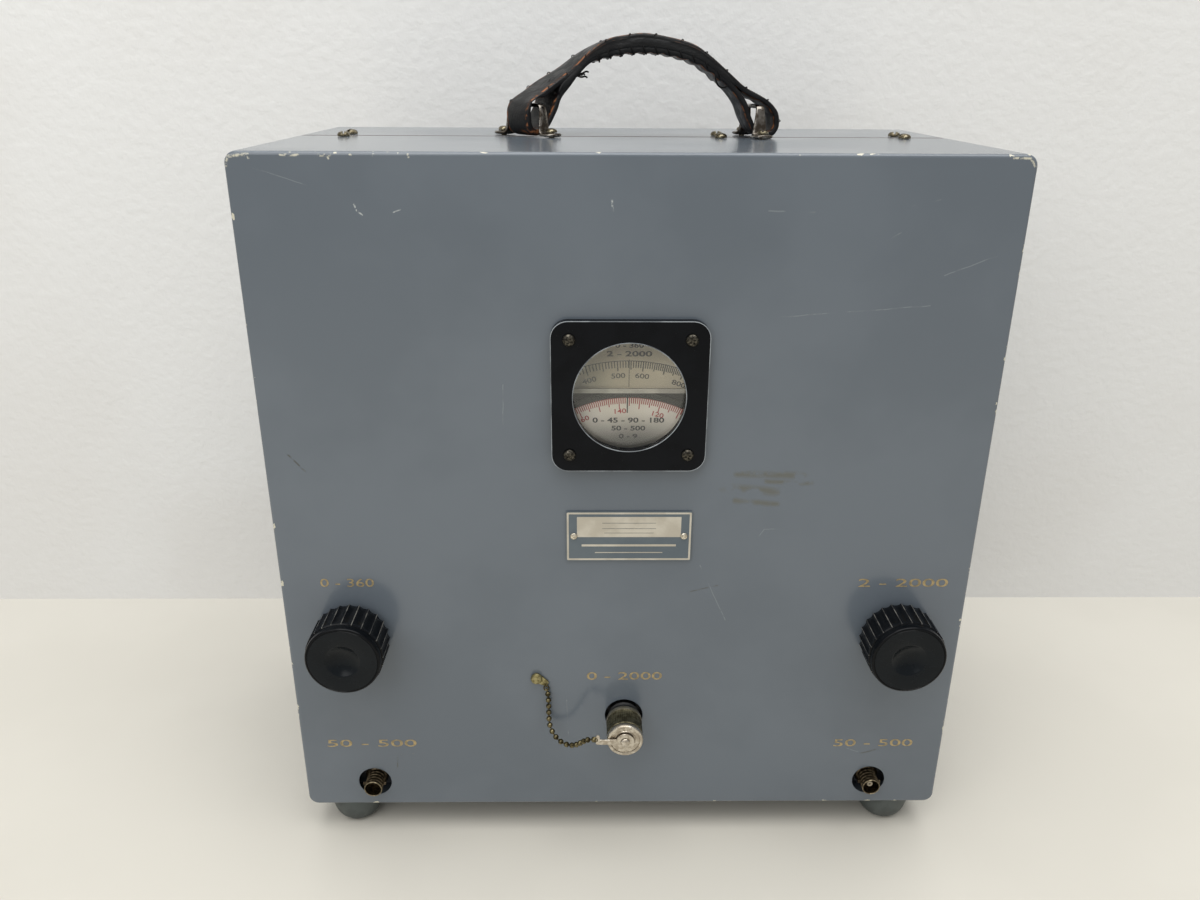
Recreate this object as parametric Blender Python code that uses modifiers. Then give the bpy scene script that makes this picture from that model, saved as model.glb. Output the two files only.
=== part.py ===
"""Bench VHF impedance bridge: a steel case in two shells, a coaxial dial drive and an RF line.

Most pieces hang from one empty, the face frame, which lies on the front panel's outer
surface at the case's bottom edge: x runs right, y up and z out towards the person who
reads the dial, so a depth behind the panel is a negative z. The object stands on its feet
at world z = 0, faces -Y, and is centred in X and Y.
"""

import math

import bmesh
import bpy

MM = 0.001

# Driving dimensions of the case.
CASE_WIDTH = 343 * MM
CASE_HEIGHT = 343 * MM
CASE_DEPTH = 184 * MM
SEAM_DEPTH = 105 * MM
SHEET = 1.6 * MM
CORNER_RADIUS = 6.5 * MM
EDGE_RADIUS = 3 * MM
FOOT_HEIGHT = 18.5 * MM
GAP = 0.3 * MM
OVERRUN = 5 * MM
WELD_DISTANCE = 0.01 * MM

# Places of the controls and connectors on the panel.
KNOB_INSET = 34 * MM
KNOB_X = CASE_WIDTH / 2 - KNOB_INSET
KNOB_Y = 109 * MM
KNOB_STANDOFF = 3 * MM
KNOB_LENGTH = 22 * MM
DIAL_Y = 172 * MM
WINDOW_Y = 236 * MM
UNKNOWN_Y = 58.4 * MM
JACK_INSET = 37.2 * MM
JACK_X = CASE_WIDTH / 2 - JACK_INSET
JACK_Y = 15.3 * MM
ANCHOR_X = -45.5 * MM
ANCHOR_Y = 82.5 * MM

# Depths behind the panel of what the case holds.
PHASE_DIAL_DEPTH = 9 * MM
MAGNITUDE_DIAL_DEPTH = 12 * MM
CARRIAGE_DEPTH = 20 * MM
MAGNITUDE_PULLEY_DEPTH = 29.5 * MM
PHASE_PULLEY_DEPTH = 37.5 * MM
PROBE_ARM_DEPTH = 43.5 * MM
PHASE_LINE_DEPTH = 48 * MM
PAN_DEPTH = 64 * MM

# The shafts and what turns on them.
SHAFT_RADIUS = 3 * MM
SPINDLE_RADIUS = 2.5 * MM
INNER_SLEEVE_RADIUS = 4.5 * MM
OUTER_SLEEVE_RADIUS = 6.5 * MM
DIAL_PULLEY_RADIUS = 48 * MM
KNOB_PULLEY_SHARE = 1 / 6
DRIVE_CORD_RADIUS = 0.6 * MM

FRONT_Y = (KNOB_STANDOFF + KNOB_LENGTH - CASE_DEPTH) / 2

# Turns of a piece whose own z axis points out of the panel, up, down or to the right.
OUTWARD = (0, 0, 0)
UPWARD = (-math.pi / 2, 0, 0)
DOWNWARD = (math.pi / 2, 0, 0)
SIDEWAYS = (0, math.pi / 2, 0)

for old in list(bpy.data.objects):
    bpy.data.objects.remove(old)

parts = bpy.data.collections.new("impedance_bridge")
cutters = bpy.data.collections.new("cutters")
for collection in (parts, cutters):
    bpy.context.scene.collection.children.link(collection)


def empty(name, location, rotation=OUTWARD, parent=None):
    """A frame or a joint axis that pieces hang from."""
    found = bpy.data.objects.new(name, None)
    found.location = location
    found.rotation_euler = rotation
    found.parent = parent
    parts.objects.link(found)
    return found


face = empty("face_frame", (0, FRONT_Y, FOOT_HEIGHT), (math.pi / 2, 0, 0))


def material(name, colour, roughness, metallic=0.0, alpha=1.0):
    """A plain finish; colour is linear RGB."""
    made = bpy.data.materials.new(name)
    made.use_nodes = True
    shader = made.node_tree.nodes["Principled BSDF"]
    shader.inputs["Base Color"].default_value = (*colour, 1.0)
    shader.inputs["Roughness"].default_value = roughness
    shader.inputs["Metallic"].default_value = metallic
    shader.inputs["Alpha"].default_value = alpha
    return made


enamel = material("case_enamel", (0.13, 0.155, 0.175), 0.38)
plated_steel = material("plated_steel", (0.45, 0.44, 0.41), 0.4, 0.9)
aluminium = material("aluminium", (0.6, 0.6, 0.6), 0.45, 0.9)
nickel = material("nickel_plate", (0.55, 0.52, 0.46), 0.35, 0.95)
brass = material("tarnished_brass", (0.25, 0.2, 0.1), 0.5, 0.8)
phenolic = material("black_phenolic", (0.008, 0.008, 0.009), 0.25)
rubber = material("grey_rubber", (0.055, 0.065, 0.062), 0.7)
leather = material("black_leather", (0.012, 0.012, 0.013), 0.55)
dial_paint = material("dial_paint", (0.68, 0.65, 0.6), 0.6)
clear = material("clear_sheet", (0.9, 0.92, 0.92), 0.08, 0.0, 0.25)
plate_paint = material("nameplate_paint", (0.09, 0.11, 0.12), 0.45)
cable_jacket = material("cable_jacket", (0.015, 0.015, 0.015), 0.5)
bronze_cord = material("bronze_cord", (0.35, 0.2, 0.1), 0.4, 0.7)


def add(name, mesh, finish, location=(0, 0, 0), rotation=OUTWARD, parent=face):
    """Places a mesh or a curve as a named piece with its finish."""
    piece = bpy.data.objects.new(name, mesh)
    piece.location = location
    piece.rotation_euler = rotation
    piece.parent = parent
    parts.objects.link(piece)
    if finish and not mesh.materials:
        mesh.materials.append(finish)
    return piece


def baked(piece):
    """The piece's evaluated mesh, welded; the piece itself is removed."""
    graph = bpy.context.evaluated_depsgraph_get()
    mesh = bpy.data.meshes.new_from_object(piece.evaluated_get(graph))
    mesh.name = piece.name
    bm = bmesh.new()
    bm.from_mesh(mesh)
    bmesh.ops.remove_doubles(bm, verts=bm.verts, dist=WELD_DISTANCE)
    bm.to_mesh(mesh)
    bm.free()
    bpy.data.objects.remove(piece)
    return mesh


def smooth(mesh, angle=35):
    mesh.shade_smooth()
    mesh.set_sharp_from_angle(angle=math.radians(angle))
    return mesh


def turned(name, profile, steps, closed=False):
    """A mesh turned about z from (radius, z) points that run down the outer side."""
    mesh = bpy.data.meshes.new(name)
    count = len(profile)
    edges = [(i, i + 1) for i in range(count - 1)]
    if closed:
        edges.append((count - 1, 0))
    mesh.from_pydata([(radius, 0, z) for radius, z in profile], edges, [])
    blank = add(name + "_profile", mesh, None)
    screw = blank.modifiers.new("turn", "SCREW")
    screw.steps = steps
    screw.render_steps = steps
    screw.use_merge_vertices = True
    screw.merge_threshold = WELD_DISTANCE
    return smooth(baked(blank))


def circle(radius, count, x=0, y=0):
    turn = 2 * math.pi / count
    return [(x + radius * math.cos(i * turn), y + radius * math.sin(i * turn)) for i in range(count)]


def rounded_rectangle(width, height, radius, x=0, y=0, arc=4):
    """Corner points of a rounded rectangle centred on (x, y)."""
    points = []
    for corner, (sx, sy) in enumerate(((1, 1), (-1, 1), (-1, -1), (1, -1))):
        cx = x + sx * (width / 2 - radius)
        cy = y + sy * (height / 2 - radius)
        for i in range(arc + 1):
            angle = math.pi / 2 * (corner + i / arc)
            points.append((cx + radius * math.cos(angle), cy + radius * math.sin(angle)))
    return points


def flat(name, loops, thickness, rounded=()):
    """A plate: the first loop is its outline and the others are holes. z is its middle.

    Loops whose index is in rounded are smooth curves through their points.
    """
    curve = bpy.data.curves.new(name, "CURVE")
    curve.dimensions = "2D"
    curve.fill_mode = "BOTH"
    curve.extrude = thickness / 2
    curve.resolution_u = 3
    for index, loop in enumerate(loops):
        if index in rounded:
            spline = curve.splines.new("BEZIER")
            spline.bezier_points.add(len(loop) - 1)
            for point, (x, y) in zip(spline.bezier_points, loop):
                point.co = (x, y, 0)
                point.handle_left_type = "AUTO"
                point.handle_right_type = "AUTO"
        else:
            spline = curve.splines.new("POLY")
            spline.points.add(len(loop) - 1)
            for point, (x, y) in zip(spline.points, loop):
                point.co = (x, y, 0, 1)
        spline.use_cyclic_u = True
    return baked(add(name + "_outline", curve, None))


def wire(name, points, radius, sides_resolution, cyclic=False):
    """A round wire or tube along the points."""
    curve = bpy.data.curves.new(name, "CURVE")
    curve.dimensions = "3D"
    curve.bevel_depth = radius
    curve.bevel_resolution = sides_resolution
    curve.use_fill_caps = not cyclic
    spline = curve.splines.new("POLY")
    spline.points.add(len(points) - 1)
    for point, place in zip(spline.points, points):
        point.co = (*place, 1)
    spline.use_cyclic_u = cyclic
    return curve


def through(points, steps):
    """Points of a smooth curve through the given ones, several steps to each stretch."""
    found = []
    last = len(points) - 1
    for i in range(last):
        before, start, end, after = (points[max(0, min(last, i + k))] for k in (-1, 0, 1, 2))
        for step in range(steps):
            t = step / steps
            found.append(
                tuple(
                    0.5
                    * (
                        2 * b
                        + (c - a) * t
                        + (2 * a - 5 * b + 4 * c - d) * t**2
                        + (3 * b - a - 3 * c + d) * t**3
                    )
                    for a, b, c, d in zip(before, start, end, after)
                )
            )
    return found + [points[-1]]


def drills(name, holes, steps=10, rotation=OUTWARD, location=(0, 0, 0)):
    """One cutter of parallel cylinders: (x, y, radius, z from, z to) in its own frame."""
    bm = bmesh.new()
    for x, y, radius, low, high in holes:
        made = bmesh.ops.create_cone(
            bm, cap_ends=True, segments=steps, radius1=radius, radius2=radius, depth=high - low
        )
        bmesh.ops.translate(bm, verts=made["verts"], vec=(x, y, (low + high) / 2))
    mesh = bpy.data.meshes.new(name)
    bm.to_mesh(mesh)
    bm.free()
    cutter = bpy.data.objects.new(name, mesh)
    cutter.parent = face
    cutter.location = location
    cutter.rotation_euler = rotation
    cutter.hide_render = True
    cutter.display_type = "WIRE"
    cutters.objects.link(cutter)
    return cutter


def block(name, size, centre):
    """A box, made from the cube primitive."""
    bm = bmesh.new()
    bmesh.ops.create_cube(bm, size=1)
    bmesh.ops.scale(bm, verts=bm.verts, vec=size)
    bmesh.ops.translate(bm, verts=bm.verts, vec=centre)
    mesh = bpy.data.meshes.new(name)
    bm.to_mesh(mesh)
    bm.free()
    return mesh


def boolean(piece, other, operation="DIFFERENCE"):
    """Cuts a piece with a cutter, or joins a helper shape to it."""
    modifier = piece.modifiers.new(other.name, "BOOLEAN")
    modifier.operation = operation
    modifier.object = other


def helper(mesh, parent, location=(0, 0, 0), rotation=OUTWARD):
    """A shape that is only joined to or cut from another piece."""
    shape = bpy.data.objects.new(mesh.name, mesh)
    shape.parent = parent
    shape.location = location
    shape.rotation_euler = rotation
    shape.hide_render = True
    shape.display_type = "WIRE"
    cutters.objects.link(shape)
    return shape


# Screws. Round heads with one slot; each size is one mesh that its copies share.
SCREW_STEPS = 10
HEAD_SHARES = ((0.0, 1.0), (0.7, 0.8), (1.0, 0.0))
SLOT_WIDTH_SHARE = 0.26
SLOT_DEPTH_SHARE = 0.45
SHANK_CLEARANCE = 0.3 * MM


def screw_mesh(name, head_radius, head_height, shank_radius, shank_length, finish):
    """A slotted round-head screw whose head seats at z = 0 and whose shank runs down."""
    head = [(r * head_radius, h * head_height) for r, h in HEAD_SHARES]
    shank = [(shank_radius, 0), (shank_radius, -shank_length), (0, -shank_length)]
    blank = add(name, turned(name + "_blank", head + shank, SCREW_STEPS), finish, parent=None)
    slot_depth = SLOT_DEPTH_SHARE * head_height
    size = (3 * head_radius, SLOT_WIDTH_SHARE * head_radius, 2 * slot_depth)
    boolean(blank, helper(block(name + "_slot", size, (0, 0, head_height)), None))
    mesh = baked(blank)
    mesh.materials.append(finish)
    return mesh


# Seam frame, inside both shells where they meet. Its width spans every screw in the deck.
FRAME_SHEET = 2 * MM
FRAME_WIDTH = 46 * MM
FRAME_OFFSET = SHEET + GAP

# The six case screws, in pairs either side of the seam.
CASE_SCREW_INSET = 28 * MM
MIDDLE_SCREW_X = 49 * MM
OUTER_SCREW_X = CASE_WIDTH / 2 - CASE_SCREW_INSET
CASE_SCREW_X = (-OUTER_SCREW_X, MIDDLE_SCREW_X, OUTER_SCREW_X)
CASE_SCREW_REACH = 9 * MM
CASE_HEAD_RADIUS = 3.2 * MM
CASE_HEAD_HEIGHT = 2.4 * MM
CASE_SHANK_RADIUS = 1.7 * MM
DECK_STACK = SHEET + GAP + FRAME_SHEET

# Handle brackets: pressed staples that straddle the seam, each turned in plan.
BRACKET_X = (-50.5 * MM, 66.3 * MM)
BRACKET_TURN = (math.radians(48), math.radians(9))
BRACKET_HEIGHT = 16 * MM
BRACKET_SHEET = 2 * MM
BRACKET_OPENING = 22 * MM
BRACKET_LEAN = 0.8 * MM
BRACKET_FOOT_LENGTH = 9 * MM
BRACKET_FOOT_WIDTH = 10.8 * MM
BRACKET_LEG_WIDTH = 7 * MM
BRACKET_BAR_WIDTH = 4.4 * MM
BRACKET_HEAD_RADIUS = 2.9 * MM
BRACKET_HEAD_HEIGHT = 2 * MM
BRACKET_SHANK_RADIUS = 1.5 * MM
BRACKET_SCREW_REACH = BRACKET_OPENING / 2 + BRACKET_SHEET + BRACKET_FOOT_LENGTH / 2


def bracket_screw_places():
    """(x, depth) of the four bracket screws, front and rear of each bracket."""
    places = []
    for x, turn in zip(BRACKET_X, BRACKET_TURN):
        for way in (-1, 1):
            reach = way * BRACKET_SCREW_REACH
            places.append((x - reach * math.sin(turn), SEAM_DEPTH + reach * math.cos(turn)))
    return places


def case_screw_places():
    return [(x, SEAM_DEPTH + way * CASE_SCREW_REACH) for x in CASE_SCREW_X for way in (-1, 1)]


# Holes in the deck for both sets of screws, drilled through shells and seam frame alike.
deck_low = CASE_HEIGHT - DECK_STACK - OVERRUN
deck_high = CASE_HEIGHT + OVERRUN
deck_holes = [
    (x, depth, radius + SHANK_CLEARANCE, deck_low, deck_high)
    for places, radius in (
        (case_screw_places(), CASE_SHANK_RADIUS),
        (bracket_screw_places(), BRACKET_SHANK_RADIUS),
    )
    for x, depth in places
]
deck_drills = drills("deck_drills", deck_holes, rotation=UPWARD)

# Bezel and window sizes that the panel cut-out follows.
BEZEL_SIDE = 72 * MM
BEZEL_CORNER = 8 * MM
BEZEL_THICKNESS = 4.2 * MM
WINDOW_RADIUS = 25.8 * MM
GLASS_RADIUS = 27.6 * MM
GLASS_THICKNESS = 2 * MM
BEZEL_SCREW_PITCH = 55 * MM
BEZEL_SHANK_RADIUS = 1.5 * MM
BEZEL_HEAD_RADIUS = 2.9 * MM
BEZEL_HEAD_HEIGHT = 1.8 * MM
BEZEL_SCREW_PLACES = [
    (sx * BEZEL_SCREW_PITCH / 2, WINDOW_Y + sy * BEZEL_SCREW_PITCH / 2)
    for sy in (1, -1)
    for sx in (-1, 1)
]

# Panel holes for connectors and bushings.
UNKNOWN_HOLE_RADIUS = 9.8 * MM
JACK_HOLE_RADIUS = 8.7 * MM
BUSHING_RADIUS = 4.7 * MM
ANCHOR_SHANK_RADIUS = 1.5 * MM
KNOB_SIDES = (("phase", -1), ("magnitude", 1))
JACK_SIDES = (("generator", -1), ("detector", 1))


def shell(name, front, back, closed_end):
    """One open steel box of the case between two z planes; closed_end is 1 at the front."""
    bm = bmesh.new()
    bmesh.ops.create_cube(bm, size=1)
    bmesh.ops.scale(bm, verts=bm.verts, vec=(CASE_WIDTH, CASE_HEIGHT, front - back))
    bmesh.ops.translate(bm, verts=bm.verts, vec=(0, CASE_HEIGHT / 2, (front + back) / 2))
    mouth = [f for f in bm.faces if f.normal.z * closed_end < -0.5]
    bmesh.ops.delete(bm, geom=mouth, context="FACES_ONLY")
    corners = [e for e in bm.edges if abs(e.verts[0].co.z - e.verts[1].co.z) > (front - back) / 2]
    bmesh.ops.bevel(
        bm, geom=corners, offset=CORNER_RADIUS, segments=3, profile=0.5, affect="EDGES"
    )
    mesh = bpy.data.meshes.new(name)
    bm.to_mesh(mesh)
    bm.free()
    piece = add(name, mesh, enamel)
    edge = piece.modifiers.new("rolled_edge", "BEVEL")
    edge.width = EDGE_RADIUS
    edge.segments = 2
    edge.limit_method = "ANGLE"
    edge.angle_limit = math.radians(40)
    wall = piece.modifiers.new("sheet", "SOLIDIFY")
    wall.thickness = SHEET
    wall.offset = -1
    wall.use_even_offset = True
    return piece


def front_shell():
    piece = shell("front_shell", 0, -SEAM_DEPTH + GAP / 2, 1)
    z = (-SHEET - OVERRUN, OVERRUN)
    bushing = BUSHING_RADIUS + GAP
    small = BEZEL_SHANK_RADIUS + SHANK_CLEARANCE
    holes = [(x, y, small, *z) for x, y in BEZEL_SCREW_PLACES]
    holes += [(side * KNOB_X, KNOB_Y, bushing, *z) for _, side in KNOB_SIDES]
    holes.append((ANCHOR_X, ANCHOR_Y, ANCHOR_SHANK_RADIUS + SHANK_CLEARANCE, *z))
    boolean(piece, drills("panel_drills", holes))
    holes = [(side * JACK_X, JACK_Y, JACK_HOLE_RADIUS, *z) for _, side in JACK_SIDES]
    holes.append((0, WINDOW_Y, GLASS_RADIUS + GAP, *z))
    holes.append((0, UNKNOWN_Y, UNKNOWN_HOLE_RADIUS, *z))
    boolean(piece, drills("panel_cutters", holes, steps=28))
    boolean(piece, deck_drills)


def rear_shell():
    piece = shell("rear_shell", -SEAM_DEPTH - GAP / 2, -CASE_DEPTH, -1)
    boolean(piece, deck_drills)


front_shell()
rear_shell()


def seam_frame():
    """The band that both shells are screwed to, with the handle brackets on top."""
    outer = CASE_WIDTH - 2 * FRAME_OFFSET
    height = CASE_HEIGHT - 2 * FRAME_OFFSET
    radius = CORNER_RADIUS - FRAME_OFFSET
    inner_radius = radius - FRAME_SHEET
    loops = [
        rounded_rectangle(outer, height, radius, arc=2),
        rounded_rectangle(outer - 2 * FRAME_SHEET, height - 2 * FRAME_SHEET, inner_radius, arc=2),
    ]
    mesh = flat("seam_frame", loops, FRAME_WIDTH)
    band = add("seam_frame", mesh, plated_steel, (0, CASE_HEIGHT / 2, -SEAM_DEPTH))
    boolean(band, deck_drills)


seam_frame()

# Chassis pan: the aluminium tray that carries everything behind the panel.
PAN_SHEET = 2 * MM
PAN_PAST_SEAM = 9 * MM
PAN_REACH = SEAM_DEPTH + PAN_PAST_SEAM - PAN_DEPTH
PAN_OFFSET = DECK_STACK + GAP
PAN_FOLD_RADIUS = 3 * MM


def chassis_pan():
    width = CASE_WIDTH - 2 * PAN_OFFSET
    height = CASE_HEIGHT - 2 * PAN_OFFSET
    size = (width, height, PAN_REACH)
    mesh = block("chassis_pan", size, (0, CASE_HEIGHT / 2, -PAN_DEPTH - PAN_REACH / 2))
    bm = bmesh.new()
    bm.from_mesh(mesh)
    mouth = [f for f in bm.faces if f.normal.z < -0.5]
    bmesh.ops.delete(bm, geom=mouth, context="FACES_ONLY")
    bm.to_mesh(mesh)
    bm.free()
    piece = add("chassis_pan", mesh, aluminium)
    fold = piece.modifiers.new("folds", "BEVEL")
    fold.width = PAN_FOLD_RADIUS
    fold.segments = 1
    wall = piece.modifiers.new("sheet", "SOLIDIFY")
    wall.thickness = PAN_SHEET
    wall.offset = -1
    wall.use_even_offset = True
    z = (-PAN_DEPTH - PAN_SHEET - OVERRUN, -PAN_DEPTH + OVERRUN)
    holes = [(side * KNOB_X, KNOB_Y, SHAFT_RADIUS + GAP, *z) for _, side in KNOB_SIDES]
    holes.append((0, DIAL_Y, SPINDLE_RADIUS + GAP, *z))
    boolean(piece, drills("pan_drills", holes))


chassis_pan()

# Connector shelf: a bent angle in front of the pan that holds the two small jacks.
SHELF_SIDE_GAP = 21.5 * MM
SHELF_LENGTH = CASE_WIDTH - 2 * SHELF_SIDE_GAP
SHELF_SHEET = 2 * MM
SHELF_TOP = 32 * MM
LEAF_DEPTH = 12 * MM
LEAF_BOTTOM = 4.5 * MM
CABLE_RADIUS = 2.4 * MM
CABLE_HOLE_RADIUS = 3.5 * MM
GENERATOR_RISER_X = -15 * MM
DETECTOR_RISER_X = 62 * MM
RISER_DEPTH = 44 * MM

# Small bayonet jacks, turned from brass.
JACK_BARREL_RADIUS = 4.83 * MM
JACK_REACH = 6.2 * MM
JACK_BORE_RADIUS = 4.05 * MM
JACK_BORE_DEPTH = 9 * MM
JACK_CONTACT_RADIUS = 1.1 * MM
JACK_CONTACT_LENGTH = 1.5 * MM
JACK_BODY_RADIUS = 6.2 * MM
JACK_BODY_LENGTH = 6 * MM
JACK_THREAD_RADIUS = 4.6 * MM
JACK_TAIL = 9 * MM
BAYONET_PIN_RADIUS = 0.9 * MM
BAYONET_PIN_REACH = 1.2 * MM
BAYONET_PIN_SETBACK = 5 * MM
JACK_STEPS = 16


def connector_shelf():
    back = PAN_DEPTH - GAP
    inside = LEAF_DEPTH + SHELF_SHEET
    outline = [
        (LEAF_DEPTH, LEAF_BOTTOM),
        (inside, LEAF_BOTTOM),
        (inside, SHELF_TOP - SHELF_SHEET),
        (back, SHELF_TOP - SHELF_SHEET),
        (back, SHELF_TOP),
        (LEAF_DEPTH, SHELF_TOP),
    ]
    mesh = flat("connector_shelf", [outline], SHELF_LENGTH)
    piece = add("connector_shelf", mesh, aluminium, rotation=SIDEWAYS)
    z = (-inside - OVERRUN, -LEAF_DEPTH + OVERRUN)
    hole = JACK_THREAD_RADIUS + GAP
    boolean(piece, drills("leaf_drills", [(s * JACK_X, JACK_Y, hole, *z) for _, s in JACK_SIDES]))
    risers = [
        (x, RISER_DEPTH, CABLE_HOLE_RADIUS, SHELF_TOP - SHELF_SHEET - OVERRUN, SHELF_TOP + OVERRUN)
        for x in (GENERATOR_RISER_X, DETECTOR_RISER_X)
    ]
    boolean(piece, drills("riser_drills", risers, rotation=UPWARD))


def bayonet_jack(name, side):
    """A turned jack with two bayonet pins; z = 0 is its mouth."""
    body_top = -(JACK_REACH + LEAF_DEPTH - GAP - JACK_BODY_LENGTH)
    body_bottom = body_top - JACK_BODY_LENGTH
    tail = body_bottom - JACK_TAIL
    floor = -JACK_BORE_DEPTH
    profile = [
        (0, floor + JACK_CONTACT_LENGTH),
        (JACK_CONTACT_RADIUS, floor + JACK_CONTACT_LENGTH),
        (JACK_CONTACT_RADIUS, floor),
        (JACK_BORE_RADIUS, floor),
        (JACK_BORE_RADIUS, 0),
        (JACK_BARREL_RADIUS, 0),
        (JACK_BARREL_RADIUS, body_top),
        (JACK_BODY_RADIUS, body_top),
        (JACK_BODY_RADIUS, body_bottom),
        (JACK_THREAD_RADIUS, body_bottom),
        (JACK_THREAD_RADIUS, tail),
        (0, tail),
    ]
    mesh = turned(name + "_jack_barrel", profile, JACK_STEPS)
    piece = add(name + "_jack", mesh, nickel, (side * JACK_X, JACK_Y, JACK_REACH))
    middle = (JACK_BORE_RADIUS + JACK_BARREL_RADIUS) / 2
    tip = JACK_BARREL_RADIUS + BAYONET_PIN_REACH
    place = (0, BAYONET_PIN_SETBACK, BAYONET_PIN_RADIUS)
    pins = [(*place, -tip, -middle), (*place, middle, tip)]
    both = drills(name + "_bayonet_pins", pins, 8, UPWARD, piece.location)
    boolean(piece, both, "UNION")


connector_shelf()
for jack_name, jack_side in JACK_SIDES:
    bayonet_jack(jack_name, jack_side)

# Rubber feet: domes with a flat worn spot at the tip.
FOOT_RADIUS = 14.5 * MM
FOOT_FLAT_RADIUS = 5 * MM
FOOT_SIDE_INSET = 22.5 * MM
FOOT_X = CASE_WIDTH / 2 - FOOT_SIDE_INSET
FOOT_INSET = 17 * MM
FOOT_DEPTHS = (("front", FOOT_INSET), ("rear", CASE_DEPTH - FOOT_INSET))
FOOT_POWER = 2.3
FOOT_STEPS = 16
FOOT_RINGS = 4


def foot_mesh():
    height = FOOT_HEIGHT - GAP
    edge = math.acos((FOOT_FLAT_RADIUS / FOOT_RADIUS) ** (FOOT_POWER / 2))
    full = height / math.sin(edge) ** (2 / FOOT_POWER)
    dome = []
    for i in range(FOOT_RINGS + 1):
        angle = edge * (1 - i / FOOT_RINGS)
        radius = FOOT_RADIUS * math.cos(angle) ** (2 / FOOT_POWER)
        dome.append((radius, full * math.sin(angle) ** (2 / FOOT_POWER)))
    return turned("foot", [(0, dome[0][1])] + dome + [(0, 0)], FOOT_STEPS)


rubber_foot = foot_mesh()
for depth_name, foot_depth in FOOT_DEPTHS:
    for side_name, foot_side in (("left", -1), ("right", 1)):
        place = (foot_side * FOOT_X, -GAP, -foot_depth)
        add(f"foot_{depth_name}_{side_name}", rubber_foot, rubber, place, DOWNWARD)

# Window: bakelite bezel, glass behind it and the clear index plate on the upper screws.
BEZEL_EDGE = 1.2 * MM
INDEX_DEPTH = 5 * MM
INDEX_THICKNESS = 3 * MM
INDEX_WIDTH = 64 * MM
INDEX_BAR_RISE = 0.4 * MM
INDEX_HEIGHT = 32.6 * MM
INDEX_LOW = WINDOW_Y + INDEX_BAR_RISE
INDEX_HIGH = INDEX_LOW + INDEX_HEIGHT
INDEX_CORNER = 2 * MM


def window():
    outline = rounded_rectangle(BEZEL_SIDE, BEZEL_SIDE, BEZEL_CORNER)
    mesh = flat("window_bezel", [outline, circle(WINDOW_RADIUS, 32)], BEZEL_THICKNESS)
    bezel = add("window_bezel", mesh, phenolic, (0, WINDOW_Y, GAP + BEZEL_THICKNESS / 2))
    edge = bezel.modifiers.new("eased_edge", "BEVEL")
    edge.width = BEZEL_EDGE
    edge.segments = 1
    edge.limit_method = "ANGLE"
    edge.angle_limit = math.radians(50)
    top = GAP + BEZEL_THICKNESS + OVERRUN
    hole = BEZEL_SHANK_RADIUS + SHANK_CLEARANCE
    drill = drills("bezel_drills", [(x, y, hole, -OVERRUN, top) for x, y in BEZEL_SCREW_PLACES])
    boolean(bezel, drill)
    glass = [(0, 0), (GLASS_RADIUS, 0), (GLASS_RADIUS, -GLASS_THICKNESS), (0, -GLASS_THICKNESS)]
    add("window_glass", turned("window_glass", glass, 28), clear, (0, WINDOW_Y, 0))
    seat = GAP + BEZEL_THICKNESS + GAP
    shank = seat + INDEX_DEPTH + INDEX_THICKNESS
    mesh = screw_mesh(
        "bezel_screw", BEZEL_HEAD_RADIUS, BEZEL_HEAD_HEIGHT, BEZEL_SHANK_RADIUS, shank, plated_steel
    )
    for number, (x, y) in enumerate(BEZEL_SCREW_PLACES, 1):
        add(f"bezel_screw_{number}", mesh, plated_steel, (x, y, seat))


def index_plate():
    middle = (INDEX_LOW + INDEX_HIGH) / 2
    outline = rounded_rectangle(INDEX_WIDTH, INDEX_HIGH - INDEX_LOW, INDEX_CORNER, 0, middle, 2)
    holes = [circle(hole_radius, 10, x, y) for x, y in BEZEL_SCREW_PLACES[:2]]
    mesh = flat("index_plate", [outline] + holes, INDEX_THICKNESS)
    add("index_plate", mesh, clear, (0, 0, -INDEX_DEPTH - INDEX_THICKNESS / 2))


hole_radius = BEZEL_SHANK_RADIUS + SHANK_CLEARANCE
window()
index_plate()

# Nameplate, bare.
NAMEPLATE_WIDTH = 61 * MM
NAMEPLATE_HEIGHT = 26.4 * MM
NAMEPLATE_THICKNESS = 0.8 * MM
NAMEPLATE_X = 1 * MM
NAMEPLATE_Y = 164.3 * MM
plate = block(
    "nameplate", (NAMEPLATE_WIDTH, NAMEPLATE_HEIGHT, NAMEPLATE_THICKNESS), (0, 0, NAMEPLATE_THICKNESS / 2)
)
add("nameplate", plate, plate_paint, (NAMEPLATE_X, NAMEPLATE_Y, GAP))

# Knob drives: a fluted knob, its panel bushing and a shaft with a small cord pulley.
KNOB_RADIUS = 19 * MM
KNOB_FACE_RADIUS = 18.3 * MM
KNOB_FLUTES = 24
KNOB_FLUTE_DEPTH = 1 * MM
KNOB_RIM_DROP = 1.8 * MM
KNOB_BAND = 4 * MM
KNOB_DISH_RADIUS = 8.5 * MM
KNOB_DISH_DEPTH = 1.6 * MM
KNOB_BORE_DEPTH = 15 * MM
BUSHING_FLANGE_RADIUS = 6.6 * MM
BUSHING_FLANGE = 1.5 * MM
BUSHING_LENGTH = 9 * MM
SHAFT_TAIL = 4 * MM
PULLEY_RIM = 2 * MM
PULLEY_WIDTH = 5 * MM
GROOVE_HALF_WIDTH = 1.4 * MM


def groove(radius, centre, half_width):
    """Profile of a cord pulley's rim, from its front edge to its back edge."""
    bottom = radius - DRIVE_CORD_RADIUS - GAP
    flat_half = DRIVE_CORD_RADIUS + GAP
    return [
        (radius + PULLEY_RIM, centre + half_width),
        (radius + PULLEY_RIM, centre + GROOVE_HALF_WIDTH + GAP),
        (bottom, centre + flat_half),
        (bottom, centre - flat_half),
        (radius + PULLEY_RIM, centre - GROOVE_HALF_WIDTH - GAP),
        (radius + PULLEY_RIM, centre - half_width),
    ]


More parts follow.
